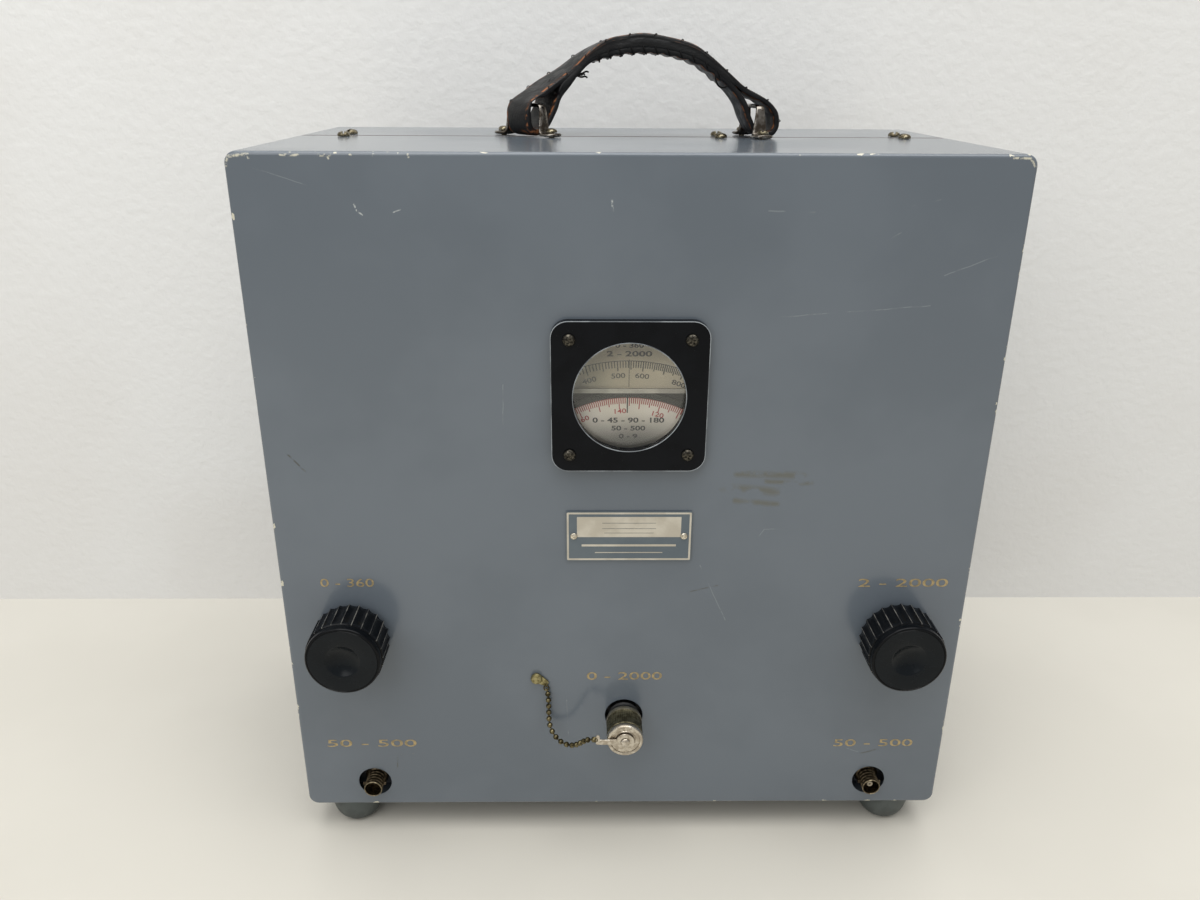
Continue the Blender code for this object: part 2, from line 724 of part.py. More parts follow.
def knob_mesh():
    """Moulded knob: flutes cut the skirt, between a rear and a front band."""
    length = KNOB_LENGTH
    bore = SHAFT_RADIUS + GAP
    profile = [
        (0, length - KNOB_DISH_DEPTH),
        (KNOB_DISH_RADIUS, length - KNOB_RIM_DROP / 2),
        (KNOB_FACE_RADIUS - KNOB_RIM_DROP, length),
        (KNOB_FACE_RADIUS, length - KNOB_RIM_DROP),
        (KNOB_FACE_RADIUS, length - KNOB_BAND),
        (KNOB_RADIUS, length - KNOB_BAND),
        (KNOB_RADIUS, 0),
        (bore, 0),
        (bore, KNOB_BORE_DEPTH),
        (0, KNOB_BORE_DEPTH),
    ]
    mesh = turned("knob", profile, 2 * KNOB_FLUTES)
    for vertex in mesh.vertices:
        x, y, z = vertex.co
        radius = math.hypot(x, y)
        column = round(math.atan2(y, x) / (math.pi / KNOB_FLUTES))
        if radius > (KNOB_RADIUS + KNOB_FACE_RADIUS) / 2 and column % 2:
            share = (KNOB_RADIUS - KNOB_FLUTE_DEPTH) / radius
            vertex.co = (x * share, y * share, z)
    return mesh


def bushing_mesh():
    bore = SHAFT_RADIUS + GAP
    profile = [
        (bore, BUSHING_FLANGE),
        (BUSHING_FLANGE_RADIUS, BUSHING_FLANGE),
        (BUSHING_FLANGE_RADIUS, 0),
        (BUSHING_RADIUS, 0),
        (BUSHING_RADIUS, -BUSHING_LENGTH),
        (bore, -BUSHING_LENGTH),
    ]
    return turned("bushing", profile, 12, closed=True)


def drive(name, side, knob, bushing, pulley_depth):
    axis = empty(name + "_knob_axis", (side * KNOB_X, KNOB_Y, 0), parent=face)
    add(name + "_knob", knob, phenolic, (0, 0, KNOB_STANDOFF), parent=axis)
    add(name + "_bushing", bushing, brass, (0, 0, GAP), parent=axis)
    tip = KNOB_STANDOFF + KNOB_BORE_DEPTH - GAP
    end = -PAN_DEPTH - PAN_SHEET - SHAFT_TAIL
    centre = -pulley_depth
    profile = [(0, tip), (SHAFT_RADIUS, tip), (SHAFT_RADIUS, centre + PULLEY_WIDTH / 2)]
    profile += groove(DIAL_PULLEY_RADIUS * KNOB_PULLEY_SHARE, centre, PULLEY_WIDTH / 2)
    profile += [(SHAFT_RADIUS, centre - PULLEY_WIDTH / 2), (SHAFT_RADIUS, end), (0, end)]
    add(name + "_shaft", turned(name + "_shaft", profile, 12), plated_steel, parent=axis)


shared_knob = knob_mesh()
shared_bushing = bushing_mesh()
PULLEY_DEPTHS = {"phase": PHASE_PULLEY_DEPTH, "magnitude": MAGNITUDE_PULLEY_DEPTH}
for knob_name, knob_side in KNOB_SIDES:
    drive(knob_name, knob_side, shared_knob, shared_bushing, PULLEY_DEPTHS[knob_name])

# Dials on one spindle: each has a printed disc, and a sleeve with a large cord pulley.
DIAL_SHEET = 0.8 * MM
PHASE_DIAL_RADIUS = 63.5 * MM
MAGNITUDE_DIAL_RADIUS = 94 * MM
SPINDLE_HEAD_RADIUS = 4.2 * MM
SPINDLE_HEAD = 2 * MM
SPINDLE_FLANGE_RADIUS = 8 * MM
SPINDLE_FLANGE = 3 * MM
OUTER_SLEEVE_TAIL = 2 * MM
PULLEY_WEB = 2 * MM
PULLEY_RIM_DEPTH = 5 * MM

dial_axis = empty("dial_axis", (0, DIAL_Y, 0), parent=face)


def dial_spindle():
    head = -PHASE_DIAL_DEPTH + GAP
    pan = -PAN_DEPTH - PAN_SHEET - GAP
    profile = [
        (0, head + SPINDLE_HEAD),
        (SPINDLE_HEAD_RADIUS, head + SPINDLE_HEAD),
        (SPINDLE_HEAD_RADIUS, head),
        (SPINDLE_RADIUS, head),
        (SPINDLE_RADIUS, pan),
        (SPINDLE_FLANGE_RADIUS, pan),
        (SPINDLE_FLANGE_RADIUS, pan - SPINDLE_FLANGE),
        (0, pan - SPINDLE_FLANGE),
    ]
    add("dial_spindle", turned("dial_spindle", profile, 16), plated_steel, parent=dial_axis)


def dial_disc(name, radius, bore, depth):
    profile = [(bore, 0), (radius, 0), (radius, -DIAL_SHEET), (bore, -DIAL_SHEET)]
    add(name, turned(name, profile, 48, closed=True), dial_paint, (0, 0, -depth), parent=dial_axis)


def dial_pulley(name, bore, sleeve, front, back, centre):
    """A sleeve on the spindle with a webbed cord pulley; the web is thin behind its rim."""
    half = PULLEY_WIDTH / 2
    inside = DIAL_PULLEY_RADIUS - PULLEY_RIM_DEPTH
    rim = groove(DIAL_PULLEY_RADIUS, centre, half)
    profile = [(bore, front), (sleeve, front), (sleeve, centre + PULLEY_WEB / 2)]
    profile += [(inside, centre + PULLEY_WEB / 2), (inside, centre + half)]
    profile += rim
    profile += [(inside, centre - half), (inside, centre - PULLEY_WEB / 2)]
    profile += [(sleeve, centre - PULLEY_WEB / 2), (sleeve, back), (bore, back)]
    add(name, turned(name, profile, 24, closed=True), aluminium, parent=dial_axis)


dial_spindle()
inner_bore = SPINDLE_RADIUS + GAP
outer_bore = INNER_SLEEVE_RADIUS + GAP
dial_disc("phase_dial", PHASE_DIAL_RADIUS, inner_bore, PHASE_DIAL_DEPTH)
dial_disc("magnitude_dial", MAGNITUDE_DIAL_RADIUS, outer_bore, MAGNITUDE_DIAL_DEPTH)
dial_pulley(
    "phase_pulley",
    inner_bore,
    INNER_SLEEVE_RADIUS,
    -PHASE_DIAL_DEPTH - DIAL_SHEET - GAP,
    -PAN_DEPTH + GAP,
    -PHASE_PULLEY_DEPTH,
)
dial_pulley(
    "magnitude_pulley",
    outer_bore,
    OUTER_SLEEVE_RADIUS,
    -MAGNITUDE_DIAL_DEPTH - DIAL_SHEET - GAP,
    -MAGNITUDE_PULLEY_DEPTH - PULLEY_WIDTH / 2 - OUTER_SLEEVE_TAIL,
    -MAGNITUDE_PULLEY_DEPTH,
)


def drive_cord(name, side, depth):
    """A cord loop round the dial pulley and the knob pulley, straight between them."""
    big = DIAL_PULLEY_RADIUS
    small = big * KNOB_PULLEY_SHARE
    dx = side * KNOB_X
    dy = KNOB_Y - DIAL_Y
    heading = math.atan2(dy, dx)
    lean = math.acos((big - small) / math.hypot(dx, dy))
    points = []
    for x, y, radius, start, sweep, count in (
        (0, DIAL_Y, big, heading + lean, 2 * (math.pi - lean), 20),
        (dx, KNOB_Y, small, heading - lean, 2 * lean, 6),
    ):
        for i in range(count + 1):
            angle = start + sweep * i / count
            points.append((x + radius * math.cos(angle), y + radius * math.sin(angle), -depth))
    add(name, wire(name, points, DRIVE_CORD_RADIUS, 1, cyclic=True), bronze_cord)


for knob_name, knob_side in KNOB_SIDES:
    drive_cord(knob_name + "_drive_cord", knob_side, PULLEY_DEPTHS[knob_name])

# Main coaxial line, a block from the unknown jack back to the pan, with its two
# attenuator tubes, the carriage whose pistons slide in them, and the phase line ring.
LINE_WIDTH = 46 * MM
LINE_DEPTH = 10 * MM
LINE_LOW = 46 * MM
LINE_HIGH = 71 * MM
TUBE_X = 12 * MM
TUBE_RADIUS = 5 * MM
TUBE_LENGTH = 42 * MM
PISTON_RADIUS = 3 * MM
PISTON_LENGTH = 42 * MM
CARRIAGE_DROP = 8.7 * MM
CROSSHEAD_LOW = LINE_HIGH + GAP + TUBE_LENGTH + CARRIAGE_DROP
CROSSHEAD_HEIGHT = 6 * MM
CROSSHEAD_WIDTH = 34 * MM
CARRIAGE_SHEET = 4 * MM
RACK_WIDTH = 4 * MM
RACK_LEAD = 15 * MM
RACK_TOP = DIAL_Y + RACK_LEAD
RING_OUTER = 58 * MM
RING_INNER = 40 * MM
RING_SLOT_RADIUS = 49 * MM
RING_SLOT_HALF = 1.6 * MM
RING_SLOT_DEPTH = 8 * MM
ARM_SHEET = 3 * MM
ARM_WIDTH = 10 * MM
ARM_HUB_RADIUS = 9 * MM
ARM_TIP = RING_SLOT_RADIUS + ARM_WIDTH / 2
ARM_TURN = math.radians(-52)
PROBE_RADIUS = 1 * MM
PROBE_DIP = 6 * MM


def main_line():
    depth = PAN_DEPTH - GAP - LINE_DEPTH
    size = (LINE_WIDTH, LINE_HIGH - LINE_LOW, depth)
    mesh = block("main_line", size, (0, (LINE_LOW + LINE_HIGH) / 2, -LINE_DEPTH - depth / 2))
    add("main_line", mesh, aluminium)


def attenuator_tube(name, x):
    bore = PISTON_RADIUS + GAP
    profile = [(bore, TUBE_LENGTH), (TUBE_RADIUS, TUBE_LENGTH), (TUBE_RADIUS, 0), (bore, 0)]
    place = (x, LINE_HIGH + GAP, -CARRIAGE_DEPTH)
    add(name, turned(name, profile, 14, closed=True), nickel, place, UPWARD)


def attenuator_carriage():
    """Crosshead and rack in one plate; a piston hangs from each end of the crosshead."""
    rack_edge = -OUTER_SLEEVE_RADIUS - GAP
    top = CROSSHEAD_LOW + CROSSHEAD_HEIGHT
    half = CROSSHEAD_WIDTH / 2
    outline = [
        (-half, CROSSHEAD_LOW),
        (half, CROSSHEAD_LOW),
        (half, top),
        (rack_edge, top),
        (rack_edge, RACK_TOP),
        (rack_edge - RACK_WIDTH, RACK_TOP),
        (rack_edge - RACK_WIDTH, top),
        (-half, top),
    ]
    mesh = flat("attenuator_carriage", [outline], CARRIAGE_SHEET)
    piece = add("attenuator_carriage", mesh, brass, (0, 0, -CARRIAGE_DEPTH))
    low = CROSSHEAD_LOW - PISTON_LENGTH
    high = CROSSHEAD_LOW + CROSSHEAD_HEIGHT / 2
    pistons = [(way * TUBE_X, CARRIAGE_DEPTH, PISTON_RADIUS, low, high) for way in (-1, 1)]
    boolean(piece, drills("pistons", pistons, rotation=UPWARD), "UNION")


def phase_line():
    """The slotted line bent into a ring, its slot open to the front."""
    back = -(PAN_DEPTH - GAP - PHASE_LINE_DEPTH)
    profile = [
        (RING_INNER, 0),
        (RING_SLOT_RADIUS - RING_SLOT_HALF, 0),
        (RING_SLOT_RADIUS - RING_SLOT_HALF, -RING_SLOT_DEPTH),
        (RING_SLOT_RADIUS + RING_SLOT_HALF, -RING_SLOT_DEPTH),
        (RING_SLOT_RADIUS + RING_SLOT_HALF, 0),
        (RING_OUTER, 0),
        (RING_OUTER, back),
        (RING_INNER, back),
    ]
    place = (0, DIAL_Y, -PHASE_LINE_DEPTH)
    add("phase_line", turned("phase_line", profile, 32, closed=True), aluminium, place)


def probe_arm():
    """A radial arm on the phase sleeve with a probe that runs in the line's slot."""
    half = ARM_WIDTH / 2
    meet = math.asin(half / ARM_HUB_RADIUS)
    around = 2 * (math.pi - meet)
    hub = [meet + around * i / 12 for i in range(13)]
    outline = [(ARM_HUB_RADIUS * math.cos(a), ARM_HUB_RADIUS * math.sin(a)) for a in hub]
    outline += [(ARM_TIP, -half), (ARM_TIP, half)]
    bore = circle(INNER_SLEEVE_RADIUS + GAP, 20)
    mesh = flat("probe_arm", [outline, bore], ARM_SHEET)
    place = (0, 0, -PROBE_ARM_DEPTH)
    piece = add("probe_arm", mesh, brass, place, (0, 0, ARM_TURN), dial_axis)
    tip = PROBE_ARM_DEPTH - PHASE_LINE_DEPTH - PROBE_DIP
    probe = [(0, 0), (PROBE_RADIUS, 0), (PROBE_RADIUS, tip), (0, tip)]
    mesh = turned("probe", probe, 10)
    boolean(piece, helper(mesh, piece, (RING_SLOT_RADIUS, 0, 0)), "UNION")


main_line()
attenuator_tube("electric_attenuator", -TUBE_X)
attenuator_tube("magnetic_attenuator", TUBE_X)
attenuator_carriage()
phase_line()
probe_arm()

# RF cables, each whole between its two ends.
CABLE_LEAD = 4 * MM
CABLE_BEND = 12 * MM
CABLE_SAG = 4 * MM
CABLE_POINTS = 2
CABLE_LANDING_Y = 60 * MM


def lead(place, way, gap=GAP):
    """Three points in line, out of the face at a place, so that the cable leaves it square."""
    return [tuple(p + w * (gap + k * CABLE_LEAD) for p, w in zip(place, way)) for k in range(3)]


def rf_cables():
    """Generator jack to the main line's underside, and phase line to the detector jack."""
    tail = -(JACK_TAIL + LEAF_DEPTH - GAP)
    depth = -RISER_DEPTH
    low = JACK_Y - CABLE_SAG
    x = GENERATOR_RISER_X
    route = lead((-JACK_X, JACK_Y, tail), (0, 0, -1))
    route += [
        (-JACK_X + CABLE_BEND, JACK_Y, depth),
        ((x - JACK_X) / 2, low, depth),
        (x - CABLE_BEND, JACK_Y, depth),
        (x, SHELF_TOP - CABLE_LEAD, depth),
    ]
    route += lead((x, LINE_LOW, depth), (0, -1, 0))[::-1]
    cable = wire("generator_cable", through(route, CABLE_POINTS), CABLE_RADIUS, 2)
    add("generator_cable", cable, cable_jacket)
    x = DETECTOR_RISER_X
    angle = math.atan2(-RING_OUTER, x)
    way = (math.cos(angle), math.sin(angle), 0)
    middle = -(PHASE_LINE_DEPTH + PAN_DEPTH) / 2
    rim = (RING_OUTER * way[0], DIAL_Y + RING_OUTER * way[1], middle)
    route = lead(rim, way)
    route += [
        (x, CABLE_LANDING_Y, depth),
        (x, SHELF_TOP, depth),
        (x + CABLE_BEND / 2, JACK_Y, depth),
        ((x + JACK_X) / 2, low, depth),
        (JACK_X - CABLE_BEND, JACK_Y, depth),
    ]
    route += lead((JACK_X, JACK_Y, tail), (0, 0, -1))[::-1]
    cable = wire("detector_cable", through(route, CABLE_POINTS), CABLE_RADIUS, 2)
    add("detector_cable", cable, cable_jacket)


rf_cables()

# Unknown jack, a large threaded coaxial socket, and its screw-on dust cap.
SOCKET_FLANGE_RADIUS = 12 * MM
SOCKET_FLANGE = 3 * MM
SOCKET_NECK_RADIUS = 6.8 * MM
SOCKET_THREAD_RADIUS = 7.9 * MM
SOCKET_THREAD_BACK = -3 * MM
SOCKET_REACH = 13 * MM
SOCKET_BORE_RADIUS = 5.4 * MM
SOCKET_BORE_DEPTH = 9 * MM
SOCKET_CONTACT_RADIUS = 1.3 * MM
SOCKET_CONTACT_LENGTH = 2 * MM
CAP_RADIUS = 9.25 * MM
CAP_BACK = 2.5 * MM
CAP_FACE = 21 * MM
CAP_END_WALL = 3 * MM
CAP_RIM = 0.8 * MM
RIVET_RADIUS = 1.6 * MM
RIVET_HEAD_RADIUS = 2.4 * MM
RIVET_HEAD = 1.1 * MM
LUG_SHEET = 0.8 * MM
LUG_RADIUS = 4.8 * MM
LUG_TAIL_REACH = 15 * MM
LUG_TAIL_HALF = 1.6 * MM
LUG_HOOK_WIDTH = 2.6 * MM
LUG_HOOK_HEIGHT = 4.2 * MM
CAP_STEPS = 24


def unknown_jack():
    flange_back = -LINE_DEPTH + GAP
    flange_front = flange_back + SOCKET_FLANGE
    floor = SOCKET_REACH - SOCKET_BORE_DEPTH
    profile = [
        (0, floor + SOCKET_CONTACT_LENGTH),
        (SOCKET_CONTACT_RADIUS, floor + SOCKET_CONTACT_LENGTH),
        (SOCKET_CONTACT_RADIUS, floor),
        (SOCKET_BORE_RADIUS, floor),
        (SOCKET_BORE_RADIUS, SOCKET_REACH),
        (SOCKET_THREAD_RADIUS, SOCKET_REACH),
        (SOCKET_THREAD_RADIUS, SOCKET_THREAD_BACK),
        (SOCKET_NECK_RADIUS, SOCKET_THREAD_BACK),
        (SOCKET_NECK_RADIUS, flange_front),
        (SOCKET_FLANGE_RADIUS, flange_front),
        (SOCKET_FLANGE_RADIUS, flange_back),
        (0, flange_back),
    ]
    add("unknown_jack", turned("unknown_jack", profile, 18), nickel, parent=socket_axis)


def dust_cap():
    """A cup with a riveted front; z counts from the panel."""
    bore = SOCKET_THREAD_RADIUS + GAP
    head_low = CAP_FACE + LUG_SHEET + 2 * GAP
    profile = [
        (0, head_low + RIVET_HEAD),
        (RIVET_HEAD_RADIUS, head_low + RIVET_HEAD / 2),
        (RIVET_HEAD_RADIUS, head_low),
        (RIVET_RADIUS, head_low),
        (RIVET_RADIUS, CAP_FACE),
        (CAP_RADIUS - CAP_RIM, CAP_FACE),
        (CAP_RADIUS, CAP_FACE - CAP_RIM),
        (CAP_RADIUS, CAP_BACK),
        (bore, CAP_BACK),
        (bore, CAP_FACE - CAP_END_WALL),
        (0, CAP_FACE - CAP_END_WALL),
    ]
    add("unknown_cap", turned("unknown_cap", profile, CAP_STEPS), nickel, parent=socket_axis)


def cap_lug():
    """The ring under the rivet, with a tail to the left that hooks the chain."""
    meet = math.asin(LUG_TAIL_HALF / LUG_RADIUS)
    sweep = 2 * (math.pi - meet)
    ring = [-math.pi + meet + sweep * i / 20 for i in range(21)]
    outline = [(LUG_RADIUS * math.cos(a), LUG_RADIUS * math.sin(a)) for a in ring]
    inner = -LUG_TAIL_REACH + LUG_HOOK_WIDTH
    outline += [
        (inner, LUG_TAIL_HALF),
        (inner, LUG_HOOK_HEIGHT),
        (-LUG_TAIL_REACH, LUG_HOOK_HEIGHT),
        (-LUG_TAIL_REACH, -LUG_TAIL_HALF),
    ]
    mesh = flat("cap_lug", [outline, circle(RIVET_RADIUS + GAP, 16)], LUG_SHEET)
    add("cap_lug", mesh, nickel, (0, 0, CAP_FACE + GAP + LUG_SHEET / 2), parent=socket_axis)


socket_axis = empty("unknown_axis", (0, UNKNOWN_Y, 0), parent=face)
unknown_jack()
dust_cap()
cap_lug()

# Chain anchor: a brass screw and the lug that it clamps to the panel.
ANCHOR_HEAD_RADIUS = 3 * MM
ANCHOR_HEAD_HEIGHT = 2 * MM
ANCHOR_LUG_RADIUS = 2.7 * MM
ANCHOR_TAIL_X = 4.4 * MM
ANCHOR_TAIL_Y = -2.9 * MM
ANCHOR_TAIL_RADIUS = 1.8 * MM


def chain_anchor():
    seat = GAP + LUG_SHEET + GAP
    mesh = screw_mesh(
        "chain_anchor_screw",
        ANCHOR_HEAD_RADIUS,
        ANCHOR_HEAD_HEIGHT,
        ANCHOR_SHANK_RADIUS,
        seat + SHEET + SHEET,
        brass,
    )
    add("chain_anchor_screw", mesh, brass, (ANCHOR_X, ANCHOR_Y, seat))
    bearing = math.atan2(ANCHOR_TAIL_Y, ANCHOR_TAIL_X)
    quarter = math.pi / 2
    outline = []
    for x, y, radius, start in (
        (ANCHOR_TAIL_X, ANCHOR_TAIL_Y, ANCHOR_TAIL_RADIUS, bearing - quarter),
        (0, 0, ANCHOR_LUG_RADIUS, bearing + quarter),
    ):
        for i in range(9):
            angle = start + math.pi * i / 8
            outline.append((x + radius * math.cos(angle), y + radius * math.sin(angle)))
    hole = circle(ANCHOR_SHANK_RADIUS + GAP, 12)
    mesh = flat("chain_anchor_lug", [outline, hole], LUG_SHEET)
    add("chain_anchor_lug", mesh, nickel, (ANCHOR_X, ANCHOR_Y, GAP + LUG_SHEET / 2))


chain_anchor()

# Bead chain from the anchor to the cap's lug, hanging free. The route is in millimetres
# in the face frame.
CHAIN_RADIUS = 1.2 * MM
CHAIN_ROUTE_MM = (
    (-40.4, 77.2, 2.2),
    (-39.9, 75.2, 2.4),
    (-39.5, 72.0, 2.8),
    (-39.3, 68.0, 3.3),
    (-39.3, 64.0, 3.9),
    (-39.2, 60.0, 4.7),
    (-38.7, 56.4, 5.8),
    (-37.3, 53.2, 7.2),
    (-35.1, 50.8, 8.8),
    (-32.4, 49.4, 10.5),
    (-29.5, 49.2, 12.2),
    (-26.8, 50.3, 14.0),
    (-24.3, 52.5, 16.0),
    (-22.0, 55.4, 18.0),
    (-19.9, 58.2, 20.0),
    (-17.6, 59.7, 21.3),
    (-15.3, 59.9, 21.7),
)


def cap_chain():
    route = [tuple(value * MM for value in point) for point in CHAIN_ROUTE_MM]
    add("cap_chain", wire("cap_chain", route, CHAIN_RADIUS, 2), brass)


cap_chain()

# Deck fittings: case screws, handle brackets with their screws, and the leather strap.
deck = CASE_HEIGHT


def case_screws():
    mesh = screw_mesh(
        "case_screw",
        CASE_HEAD_RADIUS,
        CASE_HEAD_HEIGHT,
        CASE_SHANK_RADIUS,
        GAP + DECK_STACK,
        plated_steel,
    )
    for number, (x, depth) in enumerate(case_screw_places(), 1):
        add(f"case_screw_{number}", mesh, plated_steel, (x, deck + GAP, -depth), UPWARD)


def handle_bracket(name, x, turn):
    """A pressed staple: x runs along its bar, y up; the leg narrows towards the bar."""
    inner = BRACKET_OPENING / 2
    outer = inner + BRACKET_SHEET
    end = outer + BRACKET_FOOT_LENGTH
    top = BRACKET_HEIGHT
    half = [
        (end, 0),
        (end, BRACKET_SHEET),
        (outer, BRACKET_SHEET),
        (outer - BRACKET_LEAN, top - BRACKET_SHEET / 2),
        (inner - BRACKET_LEAN, top),
    ]
    under = [(inner - BRACKET_LEAN, top - BRACKET_SHEET), (inner, 0)]
    outline = half + [(-a, b) for a, b in reversed(half)]
    outline += [(-a, b) for a, b in reversed(under)] + under
    mesh = flat(name, [outline], BRACKET_FOOT_WIDTH)
    for vertex in mesh.vertices:
        rise = (vertex.co.y - BRACKET_SHEET) / (top - 2 * BRACKET_SHEET)
        on_foot = abs(vertex.co.x) > outer - BRACKET_LEAN / 2 and vertex.co.y <= BRACKET_SHEET
        slim = BRACKET_LEG_WIDTH + (BRACKET_BAR_WIDTH - BRACKET_LEG_WIDTH) * min(1, max(0, rise))
        width = BRACKET_FOOT_WIDTH if on_foot and abs(vertex.co.x) > outer else slim
        vertex.co.z *= width / BRACKET_FOOT_WIDTH
    place = (x, deck + GAP, -SEAM_DEPTH)
    piece = add(name, mesh, plated_steel, place, (0, math.pi / 2 + turn, 0))
    hole = BRACKET_SHANK_RADIUS + SHANK_CLEARANCE
    ways = [(way * BRACKET_SCREW_REACH, 0, hole, -OVERRUN, OVERRUN) for way in (-1, 1)]
    turned_drill = drills(name + "_drill", ways, 12)
    turned_drill.parent = piece
    turned_drill.rotation_euler = UPWARD
    boolean(piece, turned_drill)


def bracket_screws():
    seat = GAP + BRACKET_SHEET + GAP
    mesh = screw_mesh(
        "bracket_screw",
        BRACKET_HEAD_RADIUS,
        BRACKET_HEAD_HEIGHT,
        BRACKET_SHANK_RADIUS,
        seat + DECK_STACK,
        plated_steel,
    )
    for number, (x, depth) in enumerate(bracket_screw_places(), 1):
        add(f"bracket_screw_{number}", mesh, plated_steel, (x, deck + seat, -depth), UPWARD)


# Strap: one leather strip on edge, its ends looped round the bracket bars. Outline points
# are shares of the span, from its middle, and of the rise above the deck.
HANDLE_SPAN = 144 * MM
HANDLE_MIDDLE = 8.5 * MM
HANDLE_RISE = 49.6 * MM
HANDLE_WIDTH = 24 * MM
HANDLE_END_WIDTH = 19 * MM
HANDLE_OUTER_SHARES = (
    (-0.456, 0.223),
    (-0.447, 0.302),
    (-0.428, 0.358),
    (-0.355, 0.483),
    (-0.263, 0.646),
    (-0.196, 0.819),
    (-0.131, 0.928),
    (-0.063, 0.968),
    (0.017, 0.985),
    (0.150, 0.908),
    (0.216, 0.801),
    (0.289, 0.630),
    (0.345, 0.500),
    (0.396, 0.426),
    (0.440, 0.355),
    (0.472, 0.262),
    (0.481, 0.177),
    (0.480, 0.089),
    (0.460, 0.012),
    (0.425, 0.006),
    (0.388, 0.050),
    (0.358, 0.180),
    (0.332, 0.335),
    (0.280, 0.495),
    (0.190, 0.690),
    (0.085, 0.785),
    (-0.020, 0.805),
    (-0.108, 0.774),
    (-0.183, 0.714),
    (-0.231, 0.599),
    (-0.266, 0.476),
    (-0.301, 0.361),
    (-0.319, 0.244),
    (-0.355, 0.089),
    (-0.389, 0.012),
    (-0.424, 0.012),
    (-0.450, 0.081),
)
HANDLE_RIGHT_EYE_SHARES = (
    (0.372, 0.375),
    (0.405, 0.352),
    (0.438, 0.285),
    (0.457, 0.180),
    (0.447, 0.095),
    (0.420, 0.078),
    (0.392, 0.115),
    (0.374, 0.220),
    (0.364, 0.310),
)
HANDLE_LEFT_EYE_SHARES = (
    (-0.377, 0.292),
    (-0.379, 0.161),
    (-0.390, 0.093),
    (-0.415, 0.081),
    (-0.433, 0.141),
    (-0.436, 0.242),
    (-0.432, 0.330),
    (-0.407, 0.371),
    (-0.384, 0.357),
)
TURNED_WITHIN = 8 * MM
STRAIGHT_BEYOND = 50 * MM


def ramp(value, low, high):
    t = min(1, max(0, (value - low) / (high - low)))
    return t * t * (3 - 2 * t)


def handle():
    """Side outline given its width, then turned at each end to follow its bracket."""

    def real(shares):
        return [(HANDLE_MIDDLE + a * HANDLE_SPAN, b * HANDLE_RISE) for a, b in shares]

    loops = [real(HANDLE_OUTER_SHARES), real(HANDLE_RIGHT_EYE_SHARES), real(HANDLE_LEFT_EYE_SHARES)]
    mesh = flat("handle", loops, HANDLE_WIDTH, rounded=(0, 1, 2))
    for vertex in mesh.vertices:
        x, y, z = vertex.co
        for centre, turn, inward in zip(BRACKET_X, BRACKET_TURN, (1, -1)):
            along = x - centre
            hold = 1 - ramp(inward * along, TURNED_WITHIN, STRAIGHT_BEYOND)
            z *= 1 + hold * (HANDLE_END_WIDTH / HANDLE_WIDTH - 1)
            cos = math.cos(hold * turn)
            sin = math.sin(hold * turn)
            x, z = centre + along * cos + z * sin, z * cos - along * sin
        vertex.co = (x, y, z)
    add("handle", mesh, leather, (0, deck + GAP, -SEAM_DEPTH))


case_screws()
for bracket_name, bracket_x, bracket_turn in zip(("left", "right"), BRACKET_X, BRACKET_TURN):
    handle_bracket("handle_bracket_" + bracket_name, bracket_x, bracket_turn)
bracket_screws()
handle()
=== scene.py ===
"""Looks of a bench VHF impedance bridge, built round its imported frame.

Places are in the panel's frame, in millimetres: x runs right, y up and z out of the panel,
from the middle of the case's lower front edge.
"""

import math
import random

import bmesh
import bpy
from mathutils import Matrix, Vector


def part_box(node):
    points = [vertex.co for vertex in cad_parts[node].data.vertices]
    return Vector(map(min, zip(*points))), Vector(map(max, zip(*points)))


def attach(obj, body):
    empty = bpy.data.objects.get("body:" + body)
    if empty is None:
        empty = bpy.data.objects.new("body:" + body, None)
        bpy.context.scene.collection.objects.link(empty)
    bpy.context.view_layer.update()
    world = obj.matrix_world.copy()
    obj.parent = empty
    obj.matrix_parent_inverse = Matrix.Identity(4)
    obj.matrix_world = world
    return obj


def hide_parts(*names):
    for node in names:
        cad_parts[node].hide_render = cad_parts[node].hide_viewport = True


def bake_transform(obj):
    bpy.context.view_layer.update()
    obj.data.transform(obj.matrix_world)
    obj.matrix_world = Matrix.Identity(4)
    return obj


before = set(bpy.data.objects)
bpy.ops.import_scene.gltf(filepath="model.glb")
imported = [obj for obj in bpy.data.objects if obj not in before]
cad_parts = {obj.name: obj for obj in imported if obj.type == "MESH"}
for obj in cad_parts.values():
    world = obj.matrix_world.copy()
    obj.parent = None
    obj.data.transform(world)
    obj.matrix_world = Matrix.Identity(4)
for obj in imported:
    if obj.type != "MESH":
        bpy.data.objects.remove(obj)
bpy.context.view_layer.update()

# Camera. A wide phone lens, held a little above the deck and tipped down at the panel, a
# finger's width left of the middle.
CAMERA_PLACE = (-0.01896, -0.49636, 0.39316)
CAMERA_TIP = 0.37798
CAMERA_SWING = 0.01362
CAMERA_ROLL = 0.00552
CAMERA_LENS = 28.64
CAMERA_SENSOR = 36


def placed(name, data):
    """A new object, linked to the scene."""
    made = bpy.data.objects.new(name, data)
    bpy.context.scene.collection.objects.link(made)
    return made


camera = placed("camera", bpy.data.cameras.new("camera"))
camera.data.lens = CAMERA_LENS
camera.data.sensor_width = CAMERA_SENSOR
aimed = Matrix.Rotation(-CAMERA_SWING, 4, "Z") @ Matrix.Rotation(math.pi / 2 - CAMERA_TIP, 4, "X")
camera.matrix_world = Matrix.Translation(CAMERA_PLACE) @ aimed @ Matrix.Rotation(CAMERA_ROLL, 4, "Z")
bpy.context.scene.camera = camera

